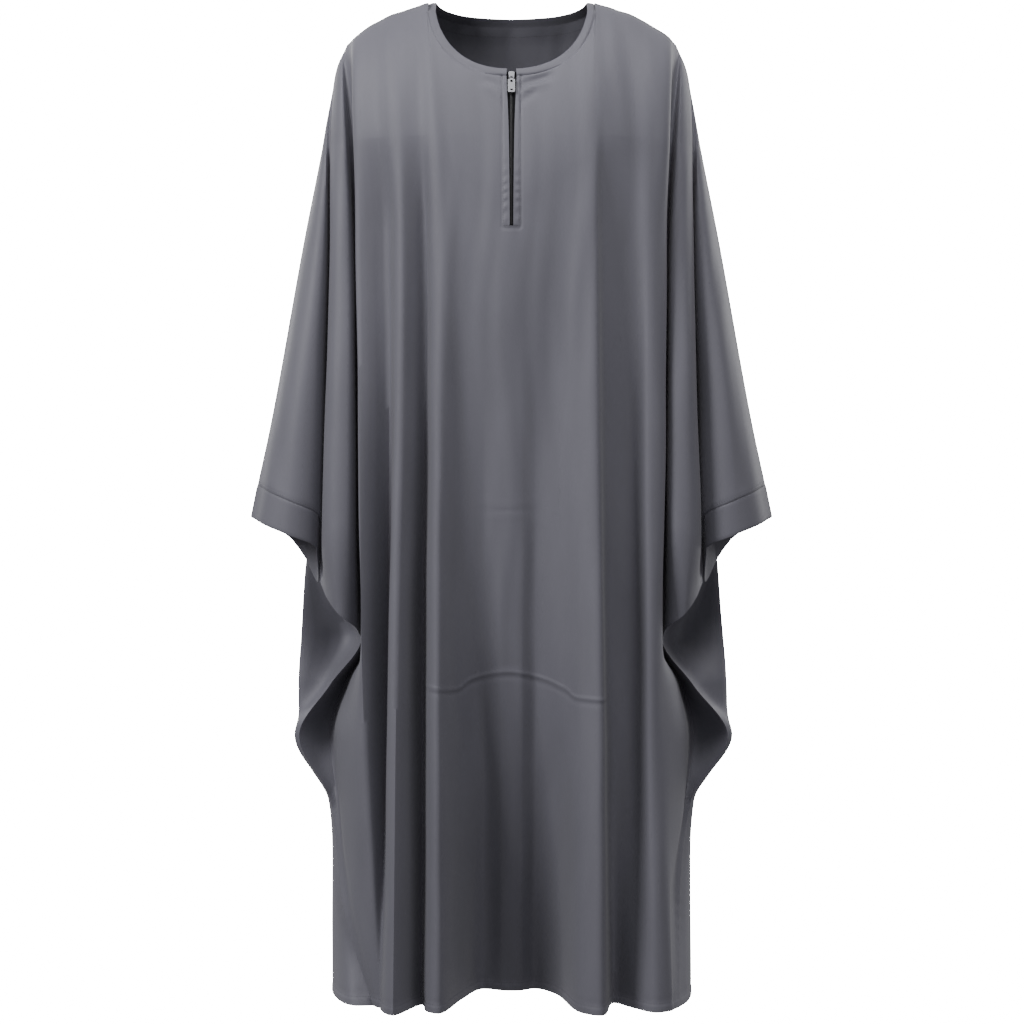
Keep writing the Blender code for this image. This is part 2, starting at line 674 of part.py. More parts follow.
def neckband(front, back, finish):
    """A band from the panels' neck edge up to the opening, open at the centre front."""
    ring = []
    left = front.slit_col
    reach = NECK_HALF_WIDTH + NECKBAND_WIDTH
    for sheet, cols in ((front, range(left, 0, -1)), (back, range(back.points.shape[1])),
                        (front, range(front.points.shape[1] - 1, left, -1))):
        for col in cols:
            top = sheet.points[0, col]
            if abs(top[0]) > reach + 1e-6:
                continue
            corner = abs(abs(top[0]) - reach) < 1e-6
            if corner and sheet is back:
                continue
            ring.append((sheet, col))
    rows = []
    drops = {id(front): NECK_FRONT_DROP, id(back): NECK_BACK_DROP}
    for share in (0.0, 0.5, 1.0):
        row = []
        for sheet, col in ring:
            top = sheet.points[0, col]
            band = NECKBAND_WIDTH * (1 - share)
            x = top[0] * (NECK_HALF_WIDTH + band) / reach
            z = float(neck_z(x, band, drops[id(sheet)]))
            depth = sheet.points[ROWS_TO_CHEST, col, 1]
            y = depth * float(roundness(top[0], z, sheet is back))
            row.append((x, y, z))
        rows.append(row)
    grid = np.array(rows)
    count = grid.shape[1]
    band_sheet = Sheet(grid, [2] * (count - 1), -1)
    ids, spots, faces = band_sheet.index()
    normals, _ = vertex_normals(spots, faces)
    if normals[:, 2].mean() < 0:
        faces = [face[::-1] for face in faces]
        normals = -normals
    inner = spots - normals * WALL
    for k, (sheet, col) in enumerate(ring):
        i = ids[(0, k)]
        j = sheet.ids[(0, col)]
        toward = spots[ids[(1, k)]] - spots[i]
        toward *= SEAM_GAP / np.linalg.norm(toward)
        spots[i] = sheet.spots[j] + toward
        inner[i] = sheet.inner[j] + toward
        if abs(abs(sheet.points[0, col, 0]) - reach) < 1e-6:
            spots[i, 1] = 0.0
            inner[i, 1] = 0.0
    add_wall("neckband", spots, inner, faces, finish)


def cuff(name, front, back, side, finish):
    """A band that carries on from the sleeve's lower edge, round the wrist."""
    last_f, last_b = front.points.shape[1] - 1, back.points.shape[1] - 1
    row = front.to_cuff
    turn = front.sleeve_cols - ACROSS
    ring = []
    for col in range(turn + 1):
        ring.append((front, front.ids[(row, col if side < 0 else last_f - col)]))
    for col in range(turn, 0, -1):
        ring.append((back, back.ids[(row, col if side < 0 else last_b - col)]))
    outer = np.array([sheet.spots[i] for sheet, i in ring])
    inner = np.array([sheet.inner[i] for sheet, i in ring])
    outer[0, 1] = inner[0, 1] = 0.0
    bridge = len(range(turn + 1))
    inward = np.array([-side, 0.0, 0.0])
    middle = np.array([side * UNDERARM_X, (outer[bridge - 1][1] + outer[bridge][1]) / 2, UNDERARM_Z])
    outer = np.insert(outer, bridge, middle, axis=0)
    inner = np.insert(inner, bridge, middle - inward * WALL, axis=0)
    span = abs(outer[0, 0]) - abs(outer[bridge, 0])
    rows_out, rows_in = [], []
    for depth in (SEAM_GAP, CUFF_DEPTH / 2, CUFF_DEPTH):
        share = (np.abs(outer[:, 0]) - abs(outer[bridge, 0])) / span
        move = np.zeros_like(outer)
        move[:, 0] = side * (UNDERARM_FLARE + (CUFF_FLARE - UNDERARM_FLARE) * share) * depth / CUFF_DEPTH
        move[:, 2] = -depth
        rows_out.append(outer + move)
        rows_in.append(inner + move)
    count = len(outer)
    faces = []
    for r in range(2):
        for k in range(count):
            a, b = r * count + k, r * count + (k + 1) % count
            face = [a, a + count, b + count, b]
            faces.append(face if side < 0 else face[::-1])
    add_wall(name, np.concatenate(rows_out), np.concatenate(rows_in), faces, finish)


def zip_centre_y(z):
    """Depth of the front's skin at the slit."""
    f = FRONT_FOLDS["slit_left"]
    return -f.y_chest * roundness(np.asarray(f.x_top, float), z, False)


def zip_tape(name, front, side, finish):
    """A tape behind the slit: the panel's inner points, moved back, and carried on to the zip's line."""
    first = front.slit_col if side < 0 else front.slit_col + 1
    cols = [first, first + side, first + 2 * side]
    rows = []
    for row in range(ROWS_TO_CHEST + 2):
        rows.append(np.array([front.inner[front.ids[(row, col)]] for col in cols]))
    share = TAPE_BELOW_SLIT / (rows[-2][0, 2] - rows[-1][0, 2])
    rows[-1] = rows[-2] + (rows[-1] - rows[-2]) * share
    seam = rows[0][0, 2]
    rise = float(zip_centre_y(seam + TAPE_ABOVE_SEAM) - zip_centre_y(seam))
    rows.insert(0, rows[0] + np.array([0.0, rise, TAPE_ABOVE_SEAM]))
    grid = []
    for row in rows:
        middle = row[0].copy()
        middle[0] = side * SEAM_GAP / 2
        grid.append(np.vstack([middle, row]))
    grid = np.array(grid) + np.array([0.0, TAPE_GAP, 0.0])
    tape = Sheet(grid, [grid.shape[0] - 1] * (grid.shape[1] - 1), -1)
    _, spots, faces = tape.index()
    if side < 0:
        faces = [face[::-1] for face in faces]
    add_wall(name, spots, spots + np.array([0.0, TAPE_THICK, 0.0]), faces, finish)


def local_frame():
    """Origin and directions at the slider: across, up the cloth, and out of the cloth."""
    step = 4.0
    y_low, y_high = zip_centre_y(SLIDER_Z - step), zip_centre_y(SLIDER_Z + step)
    up = np.array([0.0, float(y_high - y_low), 2 * step])
    up /= np.linalg.norm(up)
    out = np.cross(up, np.array([1.0, 0.0, 0.0]))
    out = -out if out[1] > 0 else out
    origin = np.array([0.0, float(zip_centre_y(SLIDER_Z)), SLIDER_Z])
    return origin, np.array([1.0, 0.0, 0.0]), up, out


def outline_prism(name, outline, hole_outlines, low, high, axis, finish):
    """Extrude an outline along a local axis, then cut its holes, and place it on the slider."""
    origin, across_dir, up, out = local_frame()
    basis = {"out": (across_dir, up, out), "across": (up, out, across_dir)}[axis]
    made = []
    for k, points in enumerate([outline] + hole_outlines):
        reach = 0.0 if k == 0 else 1.0
        count = len(points)
        spots = []
        for level in (low - reach, high + reach):
            for u, v in points:
                spots.append(origin + basis[0] * u + basis[1] * v + basis[2] * level)
        faces = [list(range(count))[::-1], list(range(count, 2 * count))]
        for i in range(count):
            j = (i + 1) % count
            faces.append([i, j, j + count, i + count])
        made.append(add_object(name if k == 0 else f"{name}_cut_{k}", spots, faces, finish, False))
    body = made[0]
    for cutter in made[1:]:
        cut_away(body, cutter)
    return body


def cut_away(body, cutter):
    """Cut a hidden guide's shape out of the body."""
    cutter.hide_render = True
    cutter.display_type = "WIRE"
    cut = body.modifiers.new("cut", "BOOLEAN")
    cut.operation = "DIFFERENCE"
    cut.solver = "EXACT"
    cut.object = cutter


def circle(centre, radius, sides):
    return [(centre[0] + radius * cos(2 * pi * i / sides), centre[1] + radius * sin(2 * pi * i / sides))
            for i in range(sides)]


def unite(body, others):
    """Join overlapping pieces into the body, keeping each as a hidden guide."""
    for other in others:
        other.hide_render = True
        other.display_type = "WIRE"
        join = body.modifiers.new("join", "BOOLEAN")
        join.operation = "UNION"
        join.solver = "EXACT"
        join.object = other


def zip_slider(finish):
    """The slider's body in the slit, with two ears and the pin that the pull hangs on."""
    half = SLIDER_SIZE[0] / 2
    high = SLIDER_SIZE[1] / 2
    plan = [(half - SLIDER_FOOT, -high), (half - SLIDER_WAIST, 0), (half, high - SLIDER_SHOULDER),
            (half - SLIDER_SHOULDER, high)]
    plan += [(-x, y) for x, y in plan[::-1]]
    body = outline_prism("zip_slider", plan, [], SLIDER_OUT - SLIDER_SIZE[2], SLIDER_OUT, "out", finish)
    pin_out = SLIDER_OUT + EAR_SIZE[2] - PIN_BELOW_EAR
    foot, head = SLIDER_OUT - EAR_SINK, SLIDER_OUT + EAR_SIZE[2]
    reach = EAR_SIZE[1] / 2
    ear = [(-PIN_DROP - reach, foot), (-PIN_DROP + reach, foot),
           (-PIN_DROP + reach - EAR_TAPER, head), (-PIN_DROP - reach + EAR_TAPER, head)]
    guides = []
    for name, start in (("ear_left", -EAR_OUTER_X), ("ear_right", EAR_OUTER_X - EAR_SIZE[0])):
        guides.append(outline_prism(name, ear, [], start, start + EAR_SIZE[0], "across", finish))
    pin_half = EAR_OUTER_X - PIN_END_SINK
    pin = circle((-PIN_DROP, pin_out), PIN_RADIUS, 12)
    guides.append(outline_prism("pin", pin, [], -pin_half, pin_half, "across", finish))
    unite(body, guides)
    return pin_out


def zip_pull(pin_out, finish):
    """The pull tab: an eye round the pin, and a wide plate with a round hole and a slot near its end."""
    half = PULL_SIZE[0] / 2
    thick = PULL_SIZE[2] / 2
    neck_end = -PIN_DROP - PULL_NECK_LENGTH
    bottom = -PIN_DROP - PULL_SIZE[1]
    plan = [(PULL_NECK_HALF, -PIN_DROP + PULL_NECK_RISE), (PULL_NECK_HALF, neck_end),
            (half, neck_end - PULL_CORNER), (half, bottom + PULL_CORNER), (half - PULL_CORNER, bottom)]
    plan += [(-x, y) for x, y in plan[::-1]]
    slot_half = PULL_SLOT[0] / 2
    low, high = bottom + PULL_SLOT_UP, bottom + PULL_SLOT_UP + PULL_SLOT[1]
    slot = [(-slot_half, low), (slot_half, low), (slot_half, high), (-slot_half, high)]
    hole = circle((0, -PIN_DROP - PULL_HOLE_DROP), PULL_HOLE_RADIUS, 16)
    body = outline_prism("zip_pull", plan, [slot, hole], pin_out - thick, pin_out + thick, "out", finish)
    boss = circle((-PIN_DROP, pin_out), EYE_RADIUS + EYE_WALL, 16)
    unite(body, [outline_prism("eye_wall", boss, [], -PULL_NECK_HALF, PULL_NECK_HALF, "across", finish)])
    bore = circle((-PIN_DROP, pin_out), EYE_RADIUS, 16)
    reach = PULL_NECK_HALF + 1
    cut_away(body, outline_prism("eye_hole", bore, [], -reach, reach, "across", finish))


def main():
    for obj in list(bpy.data.objects):
        bpy.data.objects.remove(obj)
    cloth = material("cloth", (0.115, 0.115, 0.13), 0.75)
    band_cloth = material("band_cloth", (0.115, 0.115, 0.13), 0.75)
    tape_black = material("tape_black", (0.01, 0.01, 0.012), 0.7)
    metal = material("zip_metal", (0.42, 0.42, 0.44), 0.32, 1.0)
    front, back = panels()
    add_wall("front_panel", front.spots, front.inner, front.faces, cloth)
    add_wall("back_panel", back.spots, back.inner, back.faces, cloth)
    neckband(front, back, band_cloth)
    cuff("cuff_left", front, back, -1, band_cloth)
    cuff("cuff_right", front, back, 1, band_cloth)
    zip_tape("zip_tape_left", front, -1, tape_black)
    zip_tape("zip_tape_right", front, 1, tape_black)
    pin_out = zip_slider(metal)
    zip_pull(pin_out, metal)


main()
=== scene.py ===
"""The looks of a kaftan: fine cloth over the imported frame, its sewing and zip, and the studio round it.

Sizes are in millimetres and repeat the part's own tables. Meshes are scaled to metres as they are made.
+Z is up, the front faces -Y, and the origin lies between the two shoulder seams at the neck.
"""
import json
from collections import namedtuple
from math import pi, radians

import bpy
import numpy as np
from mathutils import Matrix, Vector
from mathutils.kdtree import KDTree

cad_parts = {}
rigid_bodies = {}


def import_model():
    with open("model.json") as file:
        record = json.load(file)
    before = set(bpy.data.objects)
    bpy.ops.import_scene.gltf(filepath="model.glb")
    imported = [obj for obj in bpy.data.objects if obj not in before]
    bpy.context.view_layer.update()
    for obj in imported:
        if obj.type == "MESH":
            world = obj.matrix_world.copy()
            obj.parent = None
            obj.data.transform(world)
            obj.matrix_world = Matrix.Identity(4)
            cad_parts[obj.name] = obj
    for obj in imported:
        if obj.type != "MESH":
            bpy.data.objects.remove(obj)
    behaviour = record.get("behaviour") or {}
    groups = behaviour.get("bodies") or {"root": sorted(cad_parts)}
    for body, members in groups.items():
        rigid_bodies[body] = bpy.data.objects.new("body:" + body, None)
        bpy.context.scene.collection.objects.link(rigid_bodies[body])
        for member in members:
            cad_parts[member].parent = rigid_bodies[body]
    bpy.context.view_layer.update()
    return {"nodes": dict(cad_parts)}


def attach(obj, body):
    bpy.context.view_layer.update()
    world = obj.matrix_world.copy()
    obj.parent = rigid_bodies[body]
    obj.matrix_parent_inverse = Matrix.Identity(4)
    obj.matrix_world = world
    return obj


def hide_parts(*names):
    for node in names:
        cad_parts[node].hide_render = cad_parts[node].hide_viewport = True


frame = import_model()
MM = 0.001
TINY = 1e-6
SHARP_ANGLE = 60.0
BEVEL_ANGLE = 35.0

# Driving sizes, as in the part. Only the gap at the seams is finer, so that no light shows through.
SEAM_GAP = 0.04
LENGTH = 1350.0
SHOULDER_Z = -200.0
CHEST_Z = -322.0
WAIST_Z = -570.0
CUFF_Z = -700.0
KNEE_Z = -865.0
LOWER_Z = (-930.0, -1000.0, -1090.0, -1220.0, -LENGTH)
LEVELS = (SHOULDER_Z, CHEST_Z, WAIST_Z, CUFF_Z, KNEE_Z) + LOWER_Z
NECK_HALF_WIDTH = 103.0
NECK_FRONT_DROP = 111.0
NECK_BACK_DROP = 3.0
NECK_SQUARENESS = 2.3
NECKBAND_WIDTH = 10.0
NECK_REACH = NECK_HALF_WIDTH + NECKBAND_WIDTH
SHOULDER_TIP_X = 225.0
SHOULDER_TIP_Z = -58.0
SHOULDER_START_Z = -2.0
TIP_X = (225.0, 231.0, 236.0, 240.0, 243.0, 244.0)
TIP_Z = (-58.0, -72.0, -83.0, -95.0, -110.0, -118.0)
SHOULDER_TURN = 0.45
SHOULDER_ROUND = 160.0
SHOULDER_CALM = 0.7
CALM_X = (0.0, 45.0, 95.0, 140.0, 180.0, 214.0)
CALM_Y = (134.0, 132.0, 127.0, 117.0, 99.0, 84.0)
CHEST_ROUND = 300.0
BACK_NECK_LIFT = 45.0
CUFF_DEPTH = 44.0
CUFF_FLARE = 9.0
UNDERARM_Z = -747.0
UNDERARM_X = 260.5
UNDERARM_FLARE = 2.5

# Cloth thickness: one layer, and the two or three layers of a turned hem or a band
CLOTH = 1.0
HEM_CLOTH = 1.7
BAND_CLOTH = 1.7

# The cloth's mesh: its usual cell, its cells where small forms lie, and the heights between which
# its rows are fine (zip's foot, cuff, pressed crease, hem)
CELL = 6.6
FINE_CELL = 2.2
PLACKET_CELL = 1.7
PLACKET_STRIP = 30.0
HEM_TURN = 11.0
CUFF_STITCH_ROWS = 2
FINE_BANDS = (
    (-334.0, -196.0),
    (CUFF_Z, CUFF_Z + CUFF_STITCH_ROWS * CELL),
    (-955.0, -900.0),
    (-2 * LENGTH, -LENGTH + HEM_TURN + CELL),
)
TOP_ROWS = 17
TOP_ROWS_CROWD = 1.6
SLIT_COLS = 2
NECK_TAPE_ROWS = 3
NECKBAND_ROWS = 7
CUFF_TURN_COLS = 7
CUFF_ROWS = (SEAM_GAP, 1.2, 3.0, 6.0, 11.0, 16.5, 22.0, 27.5, 33.0, 38.0, 41.0, 43.2, CUFF_DEPTH)
SEAM_SMOOTHING = 12

# The front's columns crowd at the neck's corners, where its edge is steep, and part at the zip's mouth
CORNER_REACH = 8.0
MOUTH_OPEN = 2.2
MOUTH_REACH = 14.0
MOUTH_EASE = 6.0

# Relief at the sewing, measured from the cloth's surface. A pair is a height and its spread, and for a
# raise or a puff the distance over which it comes in. INSIDE is the share of it that the inner skin takes.
WAVE_FADE = 14.0
HEM_RAISE = (0.35, 2.0)
HEM_THICKEN = 1.5
HEM_DENT = (-0.45, 2.4)
HEM_PUCKER = (0.25, 7.0)
HEM_PUCKER_PITCH = 2.9
CUFF_SEAM_DENT = (-1.6, 1.3)
CUFF_STITCH_DENT = (-0.5, 1.2)
CUFF_STITCH_AWAY = 4.4
CUFF_PUFF = (0.7, 2.0)
CUFF_PUFF_INSIDE = 0.5
NECK_SEAM_DENT = 0.6
NECKBAND_CROWN = 0.7
NECKBAND_CROWN_POWER = 0.7
NECKBAND_CROWN_INSIDE = 0.4
PLACKET_HALF = 12.3
PLACKET_RAISE = (0.7, 2.2)
PLACKET_END = 6.0
PLACKET_DENT = (-1.1, 1.4)
PLACKET_PUCKER = (0.75, 2.6)
PLACKET_PUCKER_X = 8.0
PLACKET_FOOT = (-1.0, 1.8)
PLACKET_FOOT_Z = CHEST_Z - 3.0
SEAM_PUCKER = (0.7, 9.0)
SEAM_STILL = 3.0

# Puckers along a line: pitch, how far and how slowly that sways, the share of their height that never
# fades, how slowly the rest comes and goes, and the power that sharpens them
Ripple = namedtuple("Ripple", "pitch sway sway_pitch even fade_pitch fade_phase power")
PLACKET_RIPPLE = Ripple(2.1, 1.3, 11.0, 0.55, 24.0, 1.0, 3)
SEAM_RIPPLE = Ripple(2.3, 1.4, 13.0, 0.6, 31.0, 0.0, 1)

# Thread: a stitch's length and the gap after it, and the thread's width, rise and narrow, sunken ends
STITCH = (2.5, 1.0)
HEM_STITCH = (2.8, 1.2)
THREAD_WIDTH = 0.55
THREAD_RISE = 0.28
THREAD_END = -0.12
THREAD_END_WIDTH = 0.45
THREAD_UNDER = 0.3
THREAD_STEP = 0.25

# Zip: the tape's columns under the panel, its rows below the slit, and where its teeth begin.
# A tooth is four rings across the middle: x, how high it stands, and half its length. TOOTH_FLAT is the
# share of that length which its flat top has.
TAPE_COLS = 7
TAPE_FOOT_ROWS = 2
TAPE_TOP_STEP = 3.5
TAPE_BEHIND = 0.6
TAPE_CLOTH = 0.7
TEETH_TOP_Z = -126.0
TOOTH_PITCH = 0.65
TOOTH_FLAT = 0.7
TOOTH = ((-0.5, 0.75, 0.30), (0.4, 0.95, 0.42), (1.9, 0.75, 0.34), (2.2, 0.15, 0.30))

# Front folds, left to right, a crest or a valley each: x at the top, then x and y at the chest, waist,
# knee and hem. y is how far the cloth stands in front of the shoulder line.
FRONT_FOLDS = {
    "side_crest_left": (-214, -206, 86, -201, 97, -198, 103, -174, 103),
    "side_valley_left": (-190, -165, 82, -163, 76, -166, 62, -172, 114),
    "first_edge": (-170, -152, 111, -153, 115, -160, 120, -165, 136),
    "first_crest": (-152, -144, 118, -144, 119, -150, 127, -154, 149),
    "first_valley": (-130, -115, 101, -115, 89, -118, 70, -119, 85),
    "second_edge": (-113, -104, 122, -105, 121, -109, 117, -111, 125),
    "second_crest": (-107, -92, 129, -94, 129, -97, 132, -95, 138),
    "second_valley": (-84, -68, 126, -66, 110, -66, 91, -66, 50),
    "centre_left": (-48, -40, 129, -38, 108, -38, 80, -40, -12),
    "placket_left": (-14, -13, 134, -13, 113, -13, 87, -13, -2),
    "slit_left": (-4.5, -2.3, 135, -2.3, 114, -2.3, 88, -2.3, 0),
    "slit_right": (4.5, 2.3, 135, 2.3, 114, 2.3, 88, 2.3, 0),
    "placket_right": (14, 13, 134, 13, 113, 13, 87, 13, -2),
    "centre_right": (46, 34, 132, 33, 108, 32, 80, 33, -14),
    "inner_rise": (82, 66, 127, 62, 113, 64, 100, 60, 20),
    "third_edge": (105, 92, 130, 90, 124, 95, 126, 91, 132),
    "third_crest": (113, 110, 130, 112, 130, 117, 137, 118, 149),
    "third_valley": (130, 121, 113, 124, 100, 129, 85, 136, 75),
    "wide_valley": (160, 162, 97, 162, 82, 164, 73, 161, 105),
    "side_crest_right": (190, 183, 99, 181, 100, 181, 102, 188, 132),
    "side_lip_right": (214, 206, 82, 204, 87, 200, 90, 210, 120),
}

# Back folds in the same way. y is how far the cloth stands behind the shoulder line.
BACK_FOLDS = {
    "edge_left": (-228, -226, 62, -238, 72, -258, 90, -234, 75),
    "crest_1": (-205, -205, 85, -208, 88, -218, 92, -205, 115),
    "valley_1": (-170, -172, 98, -172, 92, -175, 84, -175, 86),
    "crest_2": (-140, -140, 112, -142, 116, -145, 125, -146, 142),
    "valley_2": (-113, -105, 118, -105, 112, -106, 105, -110, 92),
    "crest_3": (-76, -70, 126, -70, 130, -72, 135, -76, 147),
    "valley_3": (-38, -35, 124, -34, 118, -34, 108, -38, 88),
    "centre": (0, 0, 126, 0, 122, 0, 120, -2, 118),
    "valley_4": (38, 36, 124, 37, 119, 40, 108, 38, 98),
    "crest_4": (76, 72, 126, 74, 130, 76, 136, 78, 150),
    "valley_5": (113, 106, 118, 108, 111, 110, 100, 112, 90),
    "crest_5": (140, 141, 112, 143, 116, 146, 128, 150, 143),
    "valley_6": (170, 172, 98, 174, 91, 178, 83, 180, 84),
    "crest_6": (205, 205, 85, 208, 88, 218, 92, 208, 115),
    "edge_right": (228, 226, 62, 238, 72, 258, 90, 234, 75),
}

# Sleeve and underarm folds, from the over-arm seam inwards: points at the top, shoulder, chest, waist,
# cuff and knee. x is measured out from the middle, so one table serves both sides. The shoulder, chest
# and waist leave z to SIDE_LEVELS. A line without a knee ends at the cuff, or carries on in the seam
# tables. The first SLEEVE_LINES are the sleeve's.
SIDE_LEVELS = ((), (SHOULDER_Z,), (CHEST_Z,), (WAIST_Z,), (), ())
SLEEVE_LINES = 4
OVERARM = ((244, 0, -118), (259, 0), (283, 0), (328, 0), (347, 0, -659))
FRONT_SIDE = {
    "overarm": OVERARM,
    "sleeve_outer": ((244, 0, -118), (257, -16), (272, -28), (312, -38), (325, -44, -670)),
    "sleeve_mid": ((244, 0, -118), (255, -24), (261, -40), (285, -60), (291, -62, -684)),
    "sleeve_lip": ((244, 0, -118), (251, -30), (251, -38), (258, -46), (259, -42, -700)),
    "outer_crevice": ((243, 0, -112), (247, -28), (245, -8), (251, -9), (255, -10, -742), (259, -24, -791)),
    "wing_outer": ((240, 0, -95), (244, -38), (244, -46), (249, -58), (253, -62, -732), (246, -56, -814)),
    "wing_crest": ((236, 0, -83), (234, -52), (231, -66), (235, -82), (236, -84, -716), (229, -72, -834)),
    "wing_inner": ((231, 0, -72), (223, -57), (215, -66), (212, -80), (211, -80, -706), (210, -60, -849)),
}
# Between the wing and the body
FRONT_TUCK = {
    "inner_crevice": ((228, 0, -65), (216, -46), (211, -26), (208, -22), (207, -22, -700)),
    "tuck_wall": ((225, 0, -59), (211, -48), (205, -30), (201, -24), (199, -18, -700)),
    "tuck_lip": ((220, 0, -57), (208, -62), (205, -60), (201, -64), (198, -64, -700)),
}
BACK_SIDE = {
    "overarm": OVERARM,
    "sleeve_outer": ((244, 0, -118), (257, 16), (272, 30), (312, 34), (326, 28, -669)),
    "sleeve_mid": ((244, 0, -118), (253, 26), (258, 44), (286, 44), (298, 36, -690)),
    "sleeve_inner": ((244, 0, -118), (248, 34), (248, 48), (262, 44), (278, 28, -718)),
    "underarm": ((243, 0, -112), (243, 40), (241, 46), (252, 30), (257, 12, -742), (259, -24, -791)),
    "step": ((240, 0, -95), (239, 46), (238, 50), (250, 46), (262, 44, -738), (264, 46, -785)),
    "wing_fold": ((235, 0, -82), (233, 52), (234, 54), (248, 60), (283, 60, -736), (287, 50, -776)),
}

# The side seam and what flanks it, a row at the knee and then one for each of LOWER_Z.
# The seam walks out from under the wing to the tip, and back in and forward to the hem.
# inside and rise are the front's lines next to it: the deepest cloth behind the flap, and the
# body's own edge. step and fold are the back's, which wraps round to the seam.
Seam = namedtuple("Seam", "seam_x seam_y inside_x inside_y rise_x rise_y step_x step_y fold_x fold_y")
SEAM_LEFT = (
    Seam(203, -24, 192, 10, 197, -62, 228, 54, 290, 26),
    Seam(246, -20, 229, 22, 216, -42, 258, 13, 293, 14),
    Seam(289, -12, 250, 22, 233, -42, 296, -4, 292, 20),
    Seam(246, -12, 237, -11, 230, -44, 251, 2, 248, 26),
    Seam(228, -46, 219, -54, 208, -74, 238, -24, 246, 20),
    Seam(184, -90, 180, -96, 177, -101, 214, -88, 246, 10),
)
SEAM_RIGHT = (
    Seam(203, -24, 192, 10, 198, -62, 228, 40, 291, 26),
    Seam(246, -30, 232, 22, 222, -46, 258, -8, 295, 14),
    Seam(294, -14, 250, 22, 234, -48, 301, -4, 297, 20),
    Seam(244, -12, 236, -11, 231, -46, 250, 2, 247, 26),
    Seam(226, -46, 218, -56, 211, -82, 238, -24, 246, 22),
    Seam(222, -98, 217, -107, 213, -113, 236, -62, 246, 14),
)
SEAMS = ((-1, SEAM_LEFT), (1, SEAM_RIGHT))

# Soft waves over the whole cloth: height, spacing across, length of their drift, and phase
WAVES = ((0.35, 41, 640, 0.4), (0.22, 25, 420, 1.9), (0.3, 67, 530, 3.1))
WAVE_DRIFT = 0.35
WAVE_TURN = 1.7

# Pressed creases and drag lines on the front: height, half width, and the points (x, z) they pass
CREASE_END = 6.0
CREASES = (
    (0.85, 2.0, ((-110, -925), (-73, -930), (-54, -918), (-5, -908), (45, -918), (71, -929), (84, -939),
                 (124, -941))),
    (-0.45, 3.2, ((-110, -931), (-73, -936), (-54, -925), (-5, -915), (45, -925), (71, -936), (84, -945),
                  (124, -947))),
    (0.35, 3.5, ((-42, -682), (-10, -688), (34, -684))),
    (0.3, 3.5, ((-36, -704), (0, -700), (38, -706))),
    (-3.2, 4.6, ((12, -134), (28, -128), (52, -121))),
    (1.8, 4.4, ((12, -143), (28, -137), (48, -130))),
    (-2.2, 4.4, ((13, -156), (22, -149), (34, -141))),
    (-1.6, 4.0, ((-34, -127), (-22, -132), (-13, -141))),
    (1.0, 4.0, ((-38, -136), (-24, -141), (-13, -150))),
)

# The camera stands where the photograph's does
CAMERA_Z = -0.6958
CAMERA_AWAY = 3.0
PIXELS_PER_METRE = 732.0
FRAME_PIXELS = 1024.0
SENSOR = 36.0

# Lights: place, size (width, height) and power. The key stands high to the left of the camera.
LIGHTS = (
    ("key_light", (-2.5, -1.9, 1.3), (1.1, 1.6), 116.0),
    ("fill_light", (2.4, -2.6, 0.0), (1.6, 2.0), 8.0),
    ("top_light", (0.4, -1.3, 1.7), (1.6, 1.0), 48.0),
    ("back_light_left", (-1.9, 2.6, 0.5), (1.6, 2.0), 42.0),
    ("back_light_right", (2.4, 1.9, 0.5), (1.6, 2.0), 46.0),
)
LIGHTS_AIM = (0, 0, -0.65)
WORLD_COLOUR = (0.97, 0.96, 1.0, 1.0)
WORLD_STRENGTH = 0.26
BACKDROP_STRENGTH = 30.0

# The cloth's mottling is drawn out along its length. Its weave is waves both ways, and BAND_SPACING is
# how far apart a wave texture's bands lie at scale 1.
MOTTLE_STRETCH = 0.3
MOTTLE_SCALE = 26.0
MOTTLE_STOPS = (0.3, 0.7)
BAND_SPACING = 2 * pi / 20.0
GLOSS_SCALE = 900.0


def smooth(position, knots, values):
    """A smooth curve through values at the knots, with no overshoot. The knots may fall or rise."""
    knots = np.asarray(knots, float)
    values = np.asarray(values, float)
    if knots[0] > knots[-1]:
        knots, values = knots[::-1], values[::-1]
    step = np.diff(knots)
    rise = np.diff(values) / step
    slope = np.zeros(len(knots))
    slope[0], slope[-1] = rise[0], rise[-1]
    for i in range(1, len(knots) - 1):
        if rise[i - 1] * rise[i] > 0:
            slope[i] = 2 * rise[i - 1] * rise[i] / (rise[i - 1] + rise[i])
    place = np.clip(position, knots[0], knots[-1])
    i = np.clip(np.searchsorted(knots, place) - 1, 0, len(step) - 1)
    t = (place - knots[i]) / step[i]
    return (values[i] * (1 + 2 * t) * (1 - t) ** 2 + values[i + 1] * t * t * (3 - 2 * t)
            + step[i] * (slope[i] * t * (1 - t) ** 2 - slope[i + 1] * t * t * (1 - t)))


def between(t, low, high, p, q):
    """The points at t on a straight way that is at p for low and at q for high."""
    return ((high - t) * p + (t - low) * q) / (high - low)


def across(points, strips):
    """A centripetal Catmull-Rom curve through the points, with so many strips between each two."""
    points = np.asarray(points, float)
    ends = [2 * points[0] - points[1], *points, 2 * points[-1] - points[-2]]
    out = []
    for i, count in enumerate(strips):
        a, b, c, d = ends[i:i + 4]
        spans = [max(np.linalg.norm(q - p), TINY) ** 0.5 for p, q in ((a, b), (b, c), (c, d))]
        t0, t1, t2, t3 = np.cumsum([0.0] + spans)
        t = (t1 + (t2 - t1) * np.arange(count) / count)[:, None]
        middle = between(t, t1, t2, b, c)
        left = between(t, t0, t2, between(t, t0, t1, a, b), middle)
        right = between(t, t1, t3, middle, between(t, t2, t3, c, d))
        out.append(between(t, t1, t2, left, right))
    return np.concatenate(out + [points[-1:]])


def ease(t):
    """0 below 0, 1 above 1, and a soft step between."""
    t = np.clip(t, 0, 1)
    return t * t * (3 - 2 * t)


